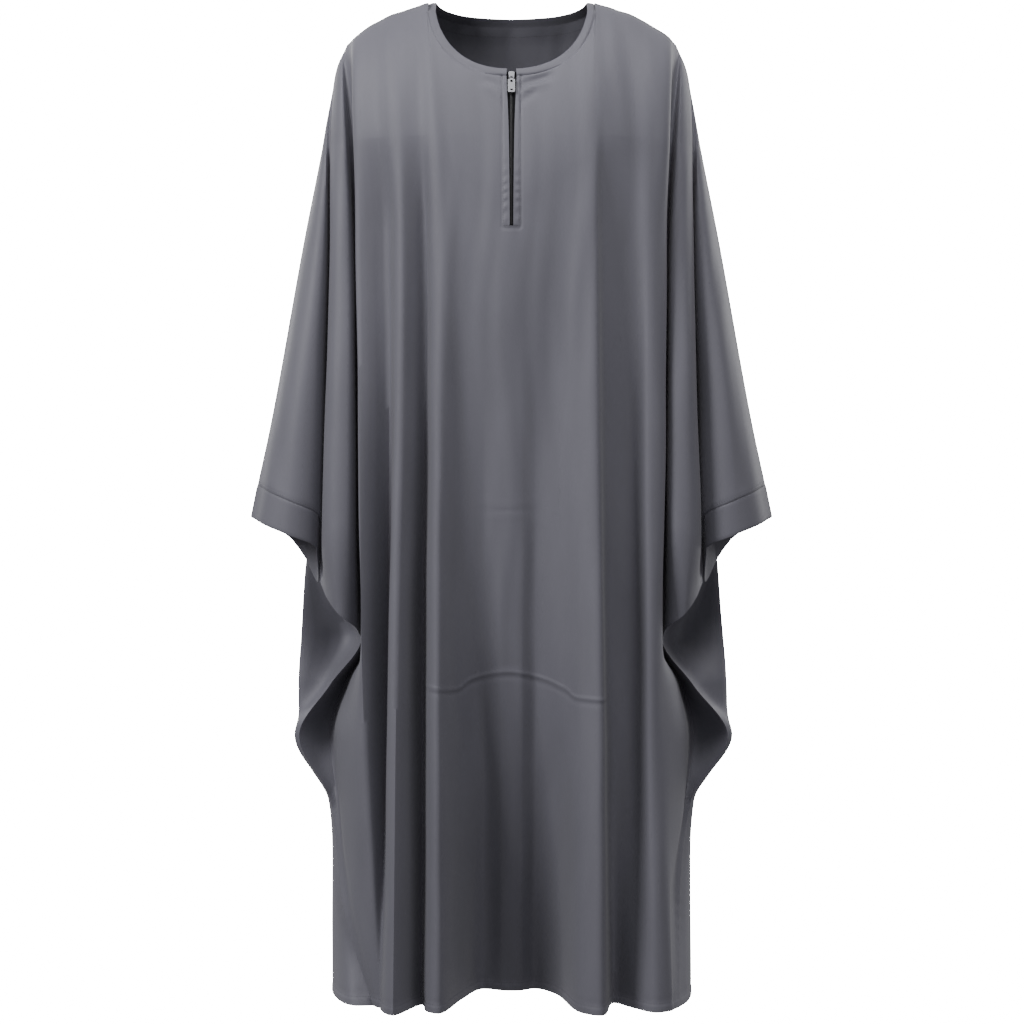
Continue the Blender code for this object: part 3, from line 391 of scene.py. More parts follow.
def bell(away, height, spread):
    """A soft ridge, or a dent where its height is below 0, by the distance from its middle."""
    return height * np.exp(-(away / spread) ** 2)


def step_up(away, height, over):
    """A soft step up to a height, over a distance."""
    return height * ease(away / over)


def ripple(place, r):
    """Puckers along a line, uneven in pitch and in height."""
    wave = np.sin(place / r.pitch + r.sway * np.sin(place / r.sway_pitch)) ** r.power
    return wave * (r.even + (1 - r.even) * np.sin(place / r.fade_pitch + r.fade_phase))


def unit(vectors):
    """The same directions at length 1."""
    return vectors / np.maximum(np.linalg.norm(vectors, axis=-1, keepdims=True), 1e-9)


def shoulder_z(x):
    """Height of the shoulder seam, a gentle slope that turns down at the tip."""
    run = np.clip((np.abs(x) - NECK_REACH) / (SHOULDER_TIP_X - NECK_REACH), 0, 1)
    fall = (1 - SHOULDER_TURN) * run + SHOULDER_TURN * run ** 3
    return SHOULDER_START_Z + (SHOULDER_TIP_Z - SHOULDER_START_Z) * fall


def neck_z(x, band, front):
    """Height of the neck's edge, or of the neckband's outer edge when band is its width."""
    drop = NECK_FRONT_DROP if front else NECK_BACK_DROP
    rim = SHOULDER_START_Z * band / NECKBAND_WIDTH
    side = np.abs(x / (NECK_HALF_WIDTH + band)) ** NECK_SQUARENESS
    bow = np.clip(1 - side, 0, 1) ** (1 / NECK_SQUARENESS)
    return rim - (drop + band + rim) * bow


def top_z(x, front):
    """Height of a panel's top: the neckband's outer edge, and the shoulder seam beyond it."""
    return neck_z(x, NECKBAND_WIDTH, front) if abs(x) <= NECK_REACH + TINY else shoulder_z(x)


def turned(fall, radius):
    """How far cloth has turned over a rounded edge, from 0 to 1, by how far it has fallen below it."""
    q = np.clip(fall / radius, 0, 1)
    return np.sqrt(1 - (1 - q) ** 2)


def roundness(x, z, front):
    """0 on the shoulder line and 1 at the full depth of the chest or back."""
    line = shoulder_z(x)
    radius = SHOULDER_ROUND
    if front:
        middle = 1 - np.clip(np.abs(x) / SHOULDER_TIP_X, 0, 1)
        radius = SHOULDER_ROUND + (CHEST_ROUND - SHOULDER_ROUND) * middle
    else:
        inner = np.clip(np.abs(x) / NECK_REACH, 0, 1)
        line = line + BACK_NECK_LIFT * (1 - inner ** 2)
    return turned(line - z, radius)


def body_stations(folds, front):
    """Each fold's points (x, y, z): at the top, and at each of LEVELS."""
    sign = -1.0 if front else 1.0
    known_z = (CHEST_Z, WAIST_Z, KNEE_Z, -LENGTH)
    lines = []
    for x_top, *rest in folds.values():
        xs, ys = rest[0::2], rest[1::2]
        top = top_z(x_top, front)
        x_shoulder = x_top + (xs[0] - x_top) * ((SHOULDER_Z - top) / (CHEST_Z - top))
        y_shoulder = ys[0]
        if front:
            y_shoulder += (smooth(abs(xs[0]), CALM_X, CALM_Y) - ys[0]) * SHOULDER_CALM
        line = [(x_top, 0.0, top), (x_shoulder, sign * y_shoulder, SHOULDER_Z)]
        line += [(smooth(z, known_z, xs), sign * smooth(z, known_z, ys), z) for z in LEVELS[1:]]
        lines.append(line)
    return lines


def side_stations(table, sign):
    """The sleeve and wing lines on one side, as lists of points, with x signed. None: it has ended."""
    return [[(sign * p[0], *p[1:], *level) for p, level in zip(side, SIDE_LEVELS)]
            + [None] * (len(SIDE_LEVELS) - len(side)) for side in table.values()]


def seam_lines(table, sign, names):
    """Stations from the knee down, for the side seam and the lines that flank it."""
    return [[(sign * getattr(row, f"{name}_x"), getattr(row, f"{name}_y"), z)
             for row, z in zip(table, (KNEE_Z,) + LOWER_Z)] for name in names]


def section_steps(high, low):
    """How far down a section each of its rows lies. In the FINE_BANDS they are closer together."""
    shares = []
    z = high
    while z > low + FINE_CELL:
        shares.append((high - z) / (high - low))
        z -= FINE_CELL if any(bottom < z < top for bottom, top in FINE_BANDS) else CELL
    return np.array(shares)


def strip_counts(names, lines):
    """How many columns each strip between two lines gets, from its mean width."""
    counts = []
    for i in range(len(lines) - 1):
        gaps = [np.linalg.norm(np.subtract(p, q)) for p, q in zip(lines[i], lines[i + 1])
                if p is not None and q is not None]
        placket = {names[i], names[i + 1]} & {"placket_left", "placket_right"}
        cell, widest = (PLACKET_CELL, PLACKET_STRIP) if placket else (CELL, np.inf)
        counts.append(max(2, int(round(min(np.mean(gaps), widest) / cell))))
    return counts


def descend(stations, steps, front):
    """Points down one column: its x and y follow the sections, and its top turns over the shoulder."""
    xs, ys, zs = stations.T
    z = [high + (low - high) * step for high, low, step in zip(zs, zs[1:], steps)]
    z = np.concatenate(z + [zs[-1:]])
    x = smooth(z, zs, xs)
    y = smooth(z, zs[1:], ys[1:])
    # Beyond the shoulder's tip a column turns at its own top
    over_tip = abs(xs[0]) >= SHOULDER_TIP_X
    turn = turned(zs[0] - z, SHOULDER_ROUND) if over_tip else roundness(xs[0], z, front)
    return np.stack([x, np.where(z > CHEST_Z, y * turn, y), z], axis=1)


def column_top(x, front):
    """Put a column's top on the neck's edge, on the shoulder line, or on the over-arm seam beyond it.

    In front, columns crowd at the neck's corner and part at the zip's mouth.
    """
    out, gap = abs(x), NECK_REACH - abs(x)
    if front and TINY < gap < CORNER_REACH:
        out = NECK_REACH - CORNER_REACH * (gap / CORNER_REACH) ** NECK_SQUARENESS
    elif front and out < MOUTH_REACH:
        slit = FRONT_FOLDS["slit_right"][0]
        out += MOUTH_OPEN * min(out / slit, (MOUTH_REACH - out) / MOUTH_EASE, 1.0)
    z = top_z(out, front) if out < SHOULDER_TIP_X else smooth(out, TIP_X, TIP_Z)
    return np.copysign(out, x), 0.0, z


def cloth_grid(lines, strips, steps, front):
    """Interpolate lines of stations into a grid, first across, then down."""
    starts = np.cumsum([0] + strips)
    stations = np.full((len(lines[0]), starts[-1] + 1, 3), np.nan)
    for s, row in enumerate(stations):
        valid = [i for i, line in enumerate(lines) if line[s] is not None]
        first, last = valid[0], valid[-1]
        known = [line[s] for line in lines[first:last + 1]]
        row[starts[first]:starts[last] + 1] = across(known, strips[first:last])
    grid = np.full((sum(len(step) for step in steps) + 1, starts[-1] + 1, 3), np.nan)
    for k in range(starts[-1] + 1):
        column = stations[~np.isnan(stations[:, k, 0]), k]
        column[0] = column_top(column[0, 0], front)
        run = descend(column, steps, front)
        grid[:len(run), k] = run
    return grid


class Sheet:
    """A skin of cloth on a grid of rows and columns, where each column ends at its own limit."""

    def __init__(self, points, limits, outward, hole=None):
        rows, cols = points.shape[0] - 1, points.shape[1] - 1
        used = np.arange(rows)[:, None] < np.array(limits)[None, :]
        if hole:
            used[:hole[0], hole[1]] = False
        row, col = np.nonzero(used)
        start = row * (cols + 1) + col
        quads = np.stack([start, start + cols + 1, start + cols + 2, start + 1], axis=1)
        if outward > 0:
            quads = quads[:, ::-1]
        nodes, place = np.unique(quads, return_inverse=True)
        spots = points.reshape(-1, 3)[nodes]
        _, first, merged = np.unique(np.round(spots, 3), axis=0, return_index=True, return_inverse=True)
        merged = merged.reshape(-1)
        self.points = points
        self.outward = outward
        self.spots = spots[first]
        self.ids = np.full(points.shape[:2], -1)
        self.ids.reshape(-1)[nodes] = merged
        self.faces = cut_quads(self.spots, merged[place.reshape(quads.shape)])
        self.uv = lay_flat(points).reshape(-1, 2)[nodes][first]
        self.seam = {}
        self.refresh()

    def refresh(self):
        """Work the normals out again after the spots or faces have changed."""
        self.normals = spot_normals(self.spots, self.faces)

    def flip(self):
        """Turn the faces over."""
        self.faces = self.faces[:, ::-1]
        self.refresh()

    def column(self, col, side):
        """The number of a column that is counted inwards from one side."""
        return col if side < 0 else self.points.shape[1] - 1 - col

    def on_shoulder(self):
        """Which spots lie on the shoulder and over-arm seams, where y is 0."""
        return np.abs(self.spots[:, 1]) < TINY


def lay_flat(points):
    """Texture coordinates in metres, along the cloth's rows and down its columns."""
    wide = np.nanmean(np.linalg.norm(np.diff(points, axis=1), axis=2), axis=0)
    down = np.nan_to_num(np.linalg.norm(np.diff(points, axis=0), axis=2))
    u = np.concatenate([[0.0], np.cumsum(wide)])
    v = np.concatenate([np.zeros((1, points.shape[1])), np.cumsum(down, axis=0)])
    return np.stack([np.broadcast_to(u, v.shape), v], axis=2) * MM


def cut_quads(spots, quads):
    """Triangles for quads, cut along the shorter diagonal, without those that have no area."""
    a, b, c, d = quads.T
    one_way = np.linalg.norm(spots[a] - spots[c], axis=1)
    short = one_way <= np.linalg.norm(spots[b] - spots[d], axis=1) + TINY
    faces = np.concatenate([np.where(short, one, other).T for one, other in (
        ([a, b, c], [b, c, d]), ([a, c, d], [b, d, a]))])
    whole = (faces[:, 0] != faces[:, 1]) & (faces[:, 1] != faces[:, 2]) & (faces[:, 2] != faces[:, 0])
    return faces[whole]


def spot_normals(spots, faces):
    """Unit normals at the spots, weighted by the faces' areas."""
    a, b, c = (spots[faces[:, i]] for i in range(3))
    normal = np.cross(b - a, c - a)
    total = np.zeros_like(spots)
    for i in range(3):
        np.add.at(total, faces[:, i], normal)
    return unit(total)


def rim_edges(faces):
    """Directed edges that only one face uses."""
    edges = np.concatenate([faces[:, [0, 1]], faces[:, [1, 2]], faces[:, [2, 0]]])
    _, place, count = np.unique(np.sort(edges, axis=1), axis=0, return_inverse=True, return_counts=True)
    return edges[count[place.reshape(-1)] == 1]


def wall_faces(count, faces):
    """The outer skin, the inner skin, and the rim between them."""
    a, b = rim_edges(faces).T
    return np.concatenate([faces, faces[:, ::-1] + count, np.stack([b, a, a + count], axis=1),
                           np.stack([b, a + count, b + count], axis=1)])


def nearest(spots, path):
    """For each spot, its distance from the nearest of the path's points, and that point's number."""
    tree = KDTree(len(path))
    for i, point in enumerate(path):
        tree.insert(point, i)
    tree.balance()
    number, away = np.array([tree.find(spot)[1:] for spot in spots]).T
    return away, number


def lengths_along(path):
    """How far along the path each of its points lies."""
    return np.concatenate([[0.0], np.cumsum(np.linalg.norm(np.diff(path, axis=0), axis=1))])


def resample(path, spacing, *others):
    """The path at even spacing along its length, with values that go with its points."""
    path = np.asarray(path, float)
    length = lengths_along(path)
    places = np.arange(0.0, length[-1], spacing)
    return [np.stack([np.interp(places, length, values[:, k]) for k in range(values.shape[1])], axis=1)
            for values in (path, *others)]


def add_object(name, points, faces, finish, uv=None):
    """Make a smooth-shaded mesh object from points in millimetres."""
    mesh = bpy.data.meshes.new(name)
    mesh.from_pydata((np.asarray(points) * MM).tolist(), [], np.asarray(faces).tolist())
    mesh.validate()
    if uv is not None:
        layer = mesh.uv_layers.new(name="cloth")
        corners = np.zeros(len(mesh.loops), dtype=np.int64)
        mesh.loops.foreach_get("vertex_index", corners)
        layer.data.foreach_set("uv", uv[corners].astype(np.float32).ravel())
    mesh.shade_smooth()
    mesh.set_sharp_from_angle(angle=radians(SHARP_ANGLE))
    mesh.materials.append(finish)
    obj = bpy.data.objects.new(name, mesh)
    bpy.context.scene.collection.objects.link(obj)
    return obj


def add_wall(name, outer, inner, faces, finish, uv):
    """A closed wall of cloth from two matching skins."""
    points = np.concatenate([outer, inner])
    return add_object(name, points, wall_faces(len(outer), faces), finish, np.concatenate([uv, uv]))


def lay_out(side_names, sides, folds, body):
    """A panel's lines from left to right: their names and stations, and the strips between them."""
    names = [*side_names, *folds, *side_names[::-1]]
    lines = sides[0] + body + sides[1][::-1]
    return names, lines, strip_counts(names, lines)


def column_limits(strips, to_cuff, to_wing, to_hem):
    """The row at which each strip's columns end: the sleeve's at the cuff, then the wing's."""
    limits = []
    for i, count in enumerate(strips):
        from_edge = min(i, len(strips) - 1 - i)
        limit = to_cuff if from_edge < SLEEVE_LINES else to_wing if from_edge < len(FRONT_SIDE) else to_hem
        limits += [limit] * count
    return limits


def front_sheet():
    """The front panel's outer skin, and where its regions of columns and rows begin and end."""
    sides = []
    for sign, table in SEAMS:
        side = [line + [None] * len(LOWER_Z) for line in side_stations(FRONT_SIDE, sign)]
        below = seam_lines(table, sign, ("seam", "inside", "rise"))
        tuck = [line[:-1] + lower for line, lower in zip(side_stations(FRONT_TUCK, sign), below)]
        sides.append(side + tuck)
    body = body_stations(FRONT_FOLDS, True)
    names, lines, strips = lay_out([*FRONT_SIDE, *FRONT_TUCK], sides, FRONT_FOLDS, body)
    wing = len(FRONT_SIDE)
    for i in range(wing):
        strips[i] = strips[-1 - i] = max(strips[i], strips[-1 - i])
    strips[names.index("slit_left")] = SLIT_COLS
    steps = [(np.arange(TOP_ROWS) / TOP_ROWS) ** TOP_ROWS_CROWD]
    steps += [section_steps(high, low) for high, low in zip(LEVELS, LEVELS[1:])]
    rows = np.cumsum([0] + [len(step) for step in steps]).tolist()
    starts = np.cumsum([0] + strips).tolist()
    col = {name: starts[names.index(name)] for name in ("placket_left", "slit_left", "slit_right",
                                                        "placket_right")}
    limits = column_limits(strips, rows[4], rows[5], rows[-1])
    sheet = Sheet(cloth_grid(lines, strips, steps, True), limits, -1,
                  (rows[2], slice(col["slit_left"], col["slit_right"])))
    sheet.col = col
    sheet.steps = steps
    sheet.to_chest, sheet.to_cuff, sheet.to_knee, sheet.total = rows[2], rows[4], rows[5], rows[-1]
    sheet.turn_col, sheet.sleeve_cols = starts[SLEEVE_LINES - 1], starts[SLEEVE_LINES]
    sheet.wing_cols = starts[wing]
    return sheet


def back_sheet(front):
    """The back panel's outer skin. Its side edges take the front's own seam points."""
    ended = [[None] * (1 + len(LOWER_Z))] * SLEEVE_LINES
    sides = []
    for sign, table in SEAMS:
        below = ended + seam_lines(table, sign, ("seam", "step", "fold"))
        sides.append([line + lower for line, lower in zip(side_stations(BACK_SIDE, sign), below)])
    body = body_stations(BACK_FOLDS, False)
    for line in body:
        # The side lines have one section more there, where the seam rounds the wing's lower edge
        line.insert(5, tuple(between(0.5, 0, 1, np.array(line[4]), np.array(line[5]))))
    _, lines, strips = lay_out([*BACK_SIDE], sides, BACK_FOLDS, body)
    wing_steps = front.wing_cols - front.sleeve_cols
    steps = front.steps[:5] + [np.arange(wing_steps) / wing_steps] + front.steps[5:]
    total = sum(len(step) for step in steps)
    grid = cloth_grid(lines, strips, steps, False)
    starts = np.cumsum([0] + strips).tolist()
    sleeve = starts[SLEEVE_LINES]
    for side, col in ((-1, sleeve), (1, grid.shape[1] - 1 - sleeve)):
        grid[front.to_cuff + 1:, col] = [front.points[spot] for spot in seam_path(front, side)]
    sheet = Sheet(grid, column_limits(strips, front.to_cuff, total, total), 1)
    sheet.to_cuff, sheet.turn_col, sheet.sleeve_cols = front.to_cuff, starts[SLEEVE_LINES - 1], sleeve
    return sheet


def seam_path(front, side):
    """Grid spots of the front's side seam, from just below the cuff to the hem."""
    sleeve, wing = front.sleeve_cols, front.wing_cols
    path = [(row, sleeve) for row in range(front.to_cuff + 1, front.to_knee + 1)]
    path += [(front.to_knee, col) for col in range(sleeve + 1, wing + 1)]
    path += [(row, wing) for row in range(front.to_knee + 1, front.total + 1)]
    return [(row, front.column(col, side)) for row, col in path]


def soft_waves(spots, seed):
    """Low, drifting waves that run down the cloth."""
    x, z = spots[:, 0], spots[:, 2]
    lift = np.zeros(len(spots))
    for height, spacing, drift_length, phase in WAVES:
        drift = WAVE_DRIFT * np.sin(2 * pi * z / drift_length + phase + seed)
        lift += height * np.sin(2 * pi * (x / spacing + drift) + phase * WAVE_TURN)
    return lift


def crease_lift(spots):
    """The pressed creases and drag lines, as height over the cloth."""
    x, z = spots[:, 0], spots[:, 2]
    lift = np.zeros(len(spots))
    for height, spread, points in CREASES:
        xs, zs = np.array(points, float).T
        first, last = xs[0] - CREASE_END, xs[-1] + CREASE_END
        ends = ease((x - first) / (2 * CREASE_END)) * ease((last - x) / (2 * CREASE_END))
        lift += bell(z - smooth(x, xs, zs), height, spread) * ends
    return lift


def hem_lift(spots):
    """A turned hem stands a little proud, with a dent where it is stitched."""
    up = spots[:, 2] + LENGTH
    pucker = np.sin(spots[:, 0] / HEM_PUCKER_PITCH) * bell(up - HEM_TURN, *HEM_PUCKER)
    return step_up(HEM_TURN - up, *HEM_RAISE) + bell(up - HEM_TURN, *HEM_DENT) + pucker


def cuff_lift(sheet):
    """The cuff's seam pulls the sleeve's edge in, and the row of stitches above it makes a dent."""
    lift = np.zeros(len(sheet.spots))
    for side in (-1, 1):
        cols = sorted(sheet.column(col, side) for col in range(sheet.turn_col + 1))
        edge, = resample(sheet.spots[sheet.ids[sheet.to_cuff, cols]], 1.0)
        away, _ = nearest(sheet.spots, edge)
        lift += bell(away, *CUFF_SEAM_DENT) + bell(away - CUFF_STITCH_AWAY, *CUFF_STITCH_DENT)
    return lift


def placket_lift(spots):
    """The placket round the slit is thicker, sewn down at its edges, with small puckers there."""
    x, z = np.abs(spots[:, 0]), spots[:, 2]
    edge = x - PLACKET_HALF
    raised = step_up(-edge, *PLACKET_RAISE) + bell(edge, *PLACKET_DENT)
    raised += ripple(z, PLACKET_RIPPLE) * bell(x - PLACKET_PUCKER_X, *PLACKET_PUCKER)
    foot = bell(z - PLACKET_FOOT_Z, *PLACKET_FOOT) * ease((1 - edge) / 2)
    return raised * ease((z - CHEST_Z + PLACKET_END) / PLACKET_END) + foot


def seam_pucker(spots, path):
    """Small puckers beside a sewn seam. They fade at the seam itself, so both its sides still meet."""
    fine, = resample(path, 1.0)
    away, place = nearest(spots, fine)
    return ripple(place, SEAM_RIPPLE) * ease(away / SEAM_STILL) * bell(away, *SEAM_PUCKER)


def panels():
    """Both panels' outer and inner skins, with their relief, shared seams and a gap along every seam."""
    front = front_sheet()
    back = back_sheet(front)
    for side in (-1, 1):
        front.seam[side] = np.array([front.ids[spot] for spot in seam_path(front, side)])
        back.seam[side] = back.ids[back.to_cuff + 1:, back.column(back.sleeve_cols, side)]
    for sheet in (front, back):
        rim, _ = nearest(sheet.spots, sheet.spots[np.unique(rim_edges(sheet.faces))])
        lift = soft_waves(sheet.spots, 0.0 if sheet is front else 2.0) * ease(rim / WAVE_FADE)
        for side in (-1, 1):
            lift += seam_pucker(sheet.spots, front.spots[front.seam[side]])
        lift += hem_lift(sheet.spots) + cuff_lift(sheet)
        if sheet is front:
            lift += crease_lift(sheet.spots) + placket_lift(sheet.spots)
        neck = np.abs(sheet.points[0, :, 0]) < NECK_REACH
        lift[sheet.ids[0, neck & (sheet.ids[0] >= 0)]] -= NECK_SEAM_DENT
        for still in (sheet.seam[-1], sheet.seam[1], sheet.on_shoulder()):
            lift[still] = 0.0
        sheet.spots += sheet.normals * lift[:, None]
        sheet.refresh()
        flat = sheet.on_shoulder()
        sheet.normals[flat, 1] = 0.0
        sheet.normals[flat] = unit(sheet.normals[flat])
    share_neck_corner(front, back)
    for sheet in (front, back):
        above = HEM_TURN + 1 - sheet.spots[:, 2] - LENGTH
        thick = CLOTH + step_up(above, HEM_CLOTH - CLOTH, HEM_THICKEN)
        if sheet is back:
            neck = np.abs(sheet.points[0, :, 0]) < NECK_HALF_WIDTH
            thick[sheet.ids[1:NECK_TAPE_ROWS + 1, neck]] = BAND_CLOTH
        sheet.inner = sheet.spots - sheet.normals * thick[:, None]
    for side in (-1, 1):
        part_side_seam(front, back, side)
    for sheet in (front, back):
        shift = sheet.outward * SEAM_GAP / 2
        flat = sheet.on_shoulder()
        sheet.spots[flat, 1] += shift
        sheet.inner[flat, 1] += shift
    return front, back


def share_neck_corner(front, back):
    """Where the shoulder seam meets the neckband, both panels take one thickness direction."""
    for side in (-1, 1):
        corner = (side * NECK_REACH, 0.0, SHOULDER_START_Z)
        spots = [(sheet, np.linalg.norm(sheet.spots - corner, axis=1).argmin()) for sheet in (front, back)]
        both = unit(sum(sheet.normals[i] for sheet, i in spots))
        for sheet, i in spots:
            sheet.normals[i] = both


def part_side_seam(front, back, side):
    """Give both panels one thickness direction along the side seam, and part them by the gap."""
    fronts, backs = front.seam[side], back.seam[side]
    normal = front.normals[fronts] + back.normals[backs]
    for _ in range(SEAM_SMOOTHING):
        normal = unit(normal)
        padded = np.concatenate([normal[:1], normal, normal[-1:]])
        normal = padded[:-2] + 2 * padded[1:-1] + padded[2:]
    path = front.spots[fronts]
    along = unit(np.gradient(path, axis=0))
    normal = unit(normal - along * (normal * along).sum(axis=1)[:, None])
    toward_front = np.cross(along, normal) * side
    for sheet, ids, sign in ((front, fronts, 1), (back, backs, -1)):
        shift = sign * toward_front * SEAM_GAP / 2
        sheet.spots[ids] = path + shift
        sheet.inner[ids] = path - normal * CLOTH + shift
        sheet.normals[ids] = normal


def neckband(front, back, finish):
    """A band from the panels' neck edge up to the opening, rolled over at the top, open at the front."""
    ring = []
    for sheet, cols in ((front, range(front.col["slit_left"], 0, -1)), (back, range(back.points.shape[1])),
                        (front, range(front.points.shape[1] - 1, front.col["slit_right"] - 1, -1))):
        # The front gives the band both its corners
        reach = NECK_REACH + (TINY if sheet is front else -TINY)
        ring += [(sheet, col) for col in cols if abs(sheet.points[0, col, 0]) < reach]
    shares = np.linspace(0, 1, NECKBAND_ROWS)
    grid = np.zeros((len(shares), len(ring), 3))
    for r, share in enumerate(shares):
        band = NECKBAND_WIDTH * (1 - share)
        for k, (sheet, col) in enumerate(ring):
            x_top = sheet.points[0, col, 0]
            x = x_top * (NECK_HALF_WIDTH + band) / NECK_REACH
            z = neck_z(x, band, sheet is front)
            depth = sheet.points[front.to_chest, col, 1]
            grid[r, k] = (x, depth * roundness(x_top, z, sheet is front), z)
    strip = Sheet(grid, [len(shares) - 1] * (len(ring) - 1), -1)
    if strip.normals[:, 2].mean() < 0:
        strip.flip()
    share_of = np.zeros(len(strip.spots))
    share_of[strip.ids] = shares[:, None]
    crown = NECKBAND_CROWN * np.sin(pi * share_of)[:, None] ** NECKBAND_CROWN_POWER
    spots = strip.spots + strip.normals * crown
    inner = strip.spots - strip.normals * (BAND_CLOTH + (crown - CLOTH) * NECKBAND_CROWN_INSIDE)
    for k, (sheet, col) in enumerate(ring):
        i, j = strip.ids[0, k], sheet.ids[0, col]
        toward = unit(spots[strip.ids[1, k]] - spots[i]) * SEAM_GAP
        for skin, edge in ((spots, sheet.spots[j]), (inner, sheet.inner[j])):
            skin[i] = edge + toward
            if abs(abs(sheet.points[0, col, 0]) - NECK_REACH) < TINY:
                skin[i, 1] = 0.0
    return add_wall("neckband_cloth", spots, inner, strip.faces, finish, strip.uv)


def cuff(name, front, back, side, finish):
    """A band that carries on from the sleeve's lower edge, round the wrist, and where it is stitched."""
    def gather(skin, row, *parts):
        """A skin's points along one row of both sheets, by columns counted in from the over-arm seam."""
        ids = [(sheet, sheet.ids[row, [sheet.column(col, side) for col in cols]]) for sheet, cols in parts]
        return np.concatenate([getattr(sheet, skin)[places] for sheet, places in ids])

    bridge = front.turn_col + 1
    ring = (front, range(bridge)), (back, range(back.turn_col, 0, -1))
    outer, inner = (gather(skin, front.to_cuff, *ring) for skin in ("spots", "inner"))
    outer[0, 1] = inner[0, 1] = 0.0
    middle = np.array([side * UNDERARM_X, (outer[bridge - 1][1] + outer[bridge][1]) / 2, UNDERARM_Z])
    span = abs(outer[0, 0]) - abs(middle[0])
    skins = []
    for skin, turn in ((outer, middle), (inner, middle + (side * CLOTH, 0.0, 0.0))):
        arc = across([skin[bridge - 1], turn, skin[bridge]], [CUFF_TURN_COLS] * 2)[1:-1]
        skins.append(np.concatenate([skin[:bridge], arc, skin[bridge:]]))
    outer, inner = skins
    away = unit(outer - inner)
    share = np.clip((np.abs(outer[:, 0]) - abs(middle[0])) / span, 0, 1)
    flare = side * (UNDERARM_FLARE + (CUFF_FLARE - UNDERARM_FLARE) * share)
    rows_out, rows_in = [], []
    for depth in CUFF_ROWS:
        moved = outer + np.stack([flare * depth / CUFF_DEPTH, 0 * share, 0 * share - depth], axis=1)
        puff = step_up(min(depth, CUFF_DEPTH - depth), *CUFF_PUFF)
        rows_out.append(moved + away * puff)
        rows_in.append(moved - away * (CLOTH + CUFF_PUFF_INSIDE * puff))
    rows_in[0] = inner + (0.0, 0.0, -SEAM_GAP)
    count = len(outer)
    r, k = (grid.ravel() for grid in np.mgrid[:len(CUFF_ROWS) - 1, :count])
    a, b = r * count + k, r * count + (k + 1) % count
    quads = np.stack([a, a + count, b + count, b], axis=1)
    spots = np.concatenate(rows_out)
    faces = cut_quads(spots, quads if side < 0 else quads[:, ::-1])
    uv = np.array([(u, depth) for depth in CUFF_ROWS for u in lengths_along(outer)]) * MM
    obj = add_wall(name, spots, np.concatenate(rows_in), faces, finish, uv)
    row = front.to_cuff - CUFF_STITCH_ROWS
    sewn = (back, range(back.turn_col, -1, -1)), (front, range(1, bridge))
    return obj, gather("spots", row, *sewn), gather("normals", row, *sewn)


def stitches(name, path, outs, finish, length, gap):
    """Thread along a path: a short raised lozenge for each stitch, dipping into the cloth at its ends."""
    fine, normals = resample(path, THREAD_STEP, outs)
    normals = unit(normals)
    spots, faces = [], []
    run = int(length / THREAD_STEP)
    for start in range(0, len(fine) - run - 1, int((length + gap) / THREAD_STEP)):
        end = start + run
        along = unit(fine[end] - fine[start])
        base = len(spots)
        tip = THREAD_END_WIDTH, THREAD_END
        for i, (wide, high) in zip((start, start + run // 2, end), (tip, (1.0, THREAD_RISE), tip)):
            out = normals[i]
            sideways = np.cross(along, out) * THREAD_WIDTH / 2 * wide
            spots += [fine[i] - sideways, fine[i] + out * high, fine[i] + sideways,
                      fine[i] - out * THREAD_UNDER]
        for ring in (base, base + 4):
            for k in range(4):
                a, b = ring + k, ring + (k + 1) % 4
                faces += [(a, a + 4, b + 4), (a, b + 4, b)]
        faces += [(base, base + 1, base + 2), (base, base + 2, base + 3),
                  (base + 8, base + 10, base + 9), (base + 8, base + 11, base + 10)]
    return add_object(name, spots, faces, finish)


def zip_tape(name, front, side, finish):
    """A tape behind the slit: the panel's inner points, moved back and carried on to the zip's line."""
    first = front.col["slit_left"] if side < 0 else front.col["slit_right"]
    cols = [first + side * k for k in range(TAPE_COLS)]
    rows = [front.inner[front.ids[row, cols]] for row in range(front.to_chest + TAPE_FOOT_ROWS + 1)]
    up = unit(rows[0][0] - rows[2][0])
    for _ in range(2):
        rows.insert(0, rows[0] + up * TAPE_TOP_STEP)
    grid = np.array([np.vstack([[side * SEAM_GAP / 2, row[0, 1], row[0, 2]], row]) for row in rows])
    grid += (0.0, TAPE_BEHIND, 0.0)
    tape = Sheet(grid, [grid.shape[0] - 1] * (grid.shape[1] - 1), -1)
    if side < 0:
        tape.flip()
    behind = tape.spots + (0.0, TAPE_CLOTH, 0.0)
    return add_wall(name, tape.spots, behind, tape.faces, finish, tape.uv), grid[:, 0]


def zip_coil(line, finish):
    """The closed zip's teeth: rounded blocks that reach over the middle from each side in turn."""
    path, = resample(line * (0.0, 1.0, 1.0), TOOTH_PITCH)
    path = path[(path[:, 2] < TEETH_TOP_Z) & (path[:, 2] > CHEST_Z + 1)]
    spots, faces = [], []
    for i, point in enumerate(path[:-1]):
        side = -1 if i % 2 else 1
        along = unit(path[i + 1] - point)
        out = unit(np.cross(along, [1.0, 0.0, 0.0]))
        out = -out if out[1] > 0 else out
        base = len(spots)
        for x, high, tall in TOOTH:
            centre = point + (side * x, 0.0, 0.0)
            spots += [centre + along * tall * way + out * up
                      for way, up in ((-1, 0), (-TOOTH_FLAT, high), (TOOTH_FLAT, high), (1, 0))]
        for ring in range(base, base + 12, 4):
            for k in range(4):
                a, b = ring + k, ring + (k + 1) % 4
                faces.append((a, b, b + 4, a + 4) if side > 0 else (a, a + 4, b + 4, b))
        caps = [(base + 3, base + 2, base + 1, base), (base + 12, base + 13, base + 14, base + 15)]
        faces += caps if side > 0 else [cap[::-1] for cap in caps]
    return add_object("zip_teeth", spots, faces, finish)


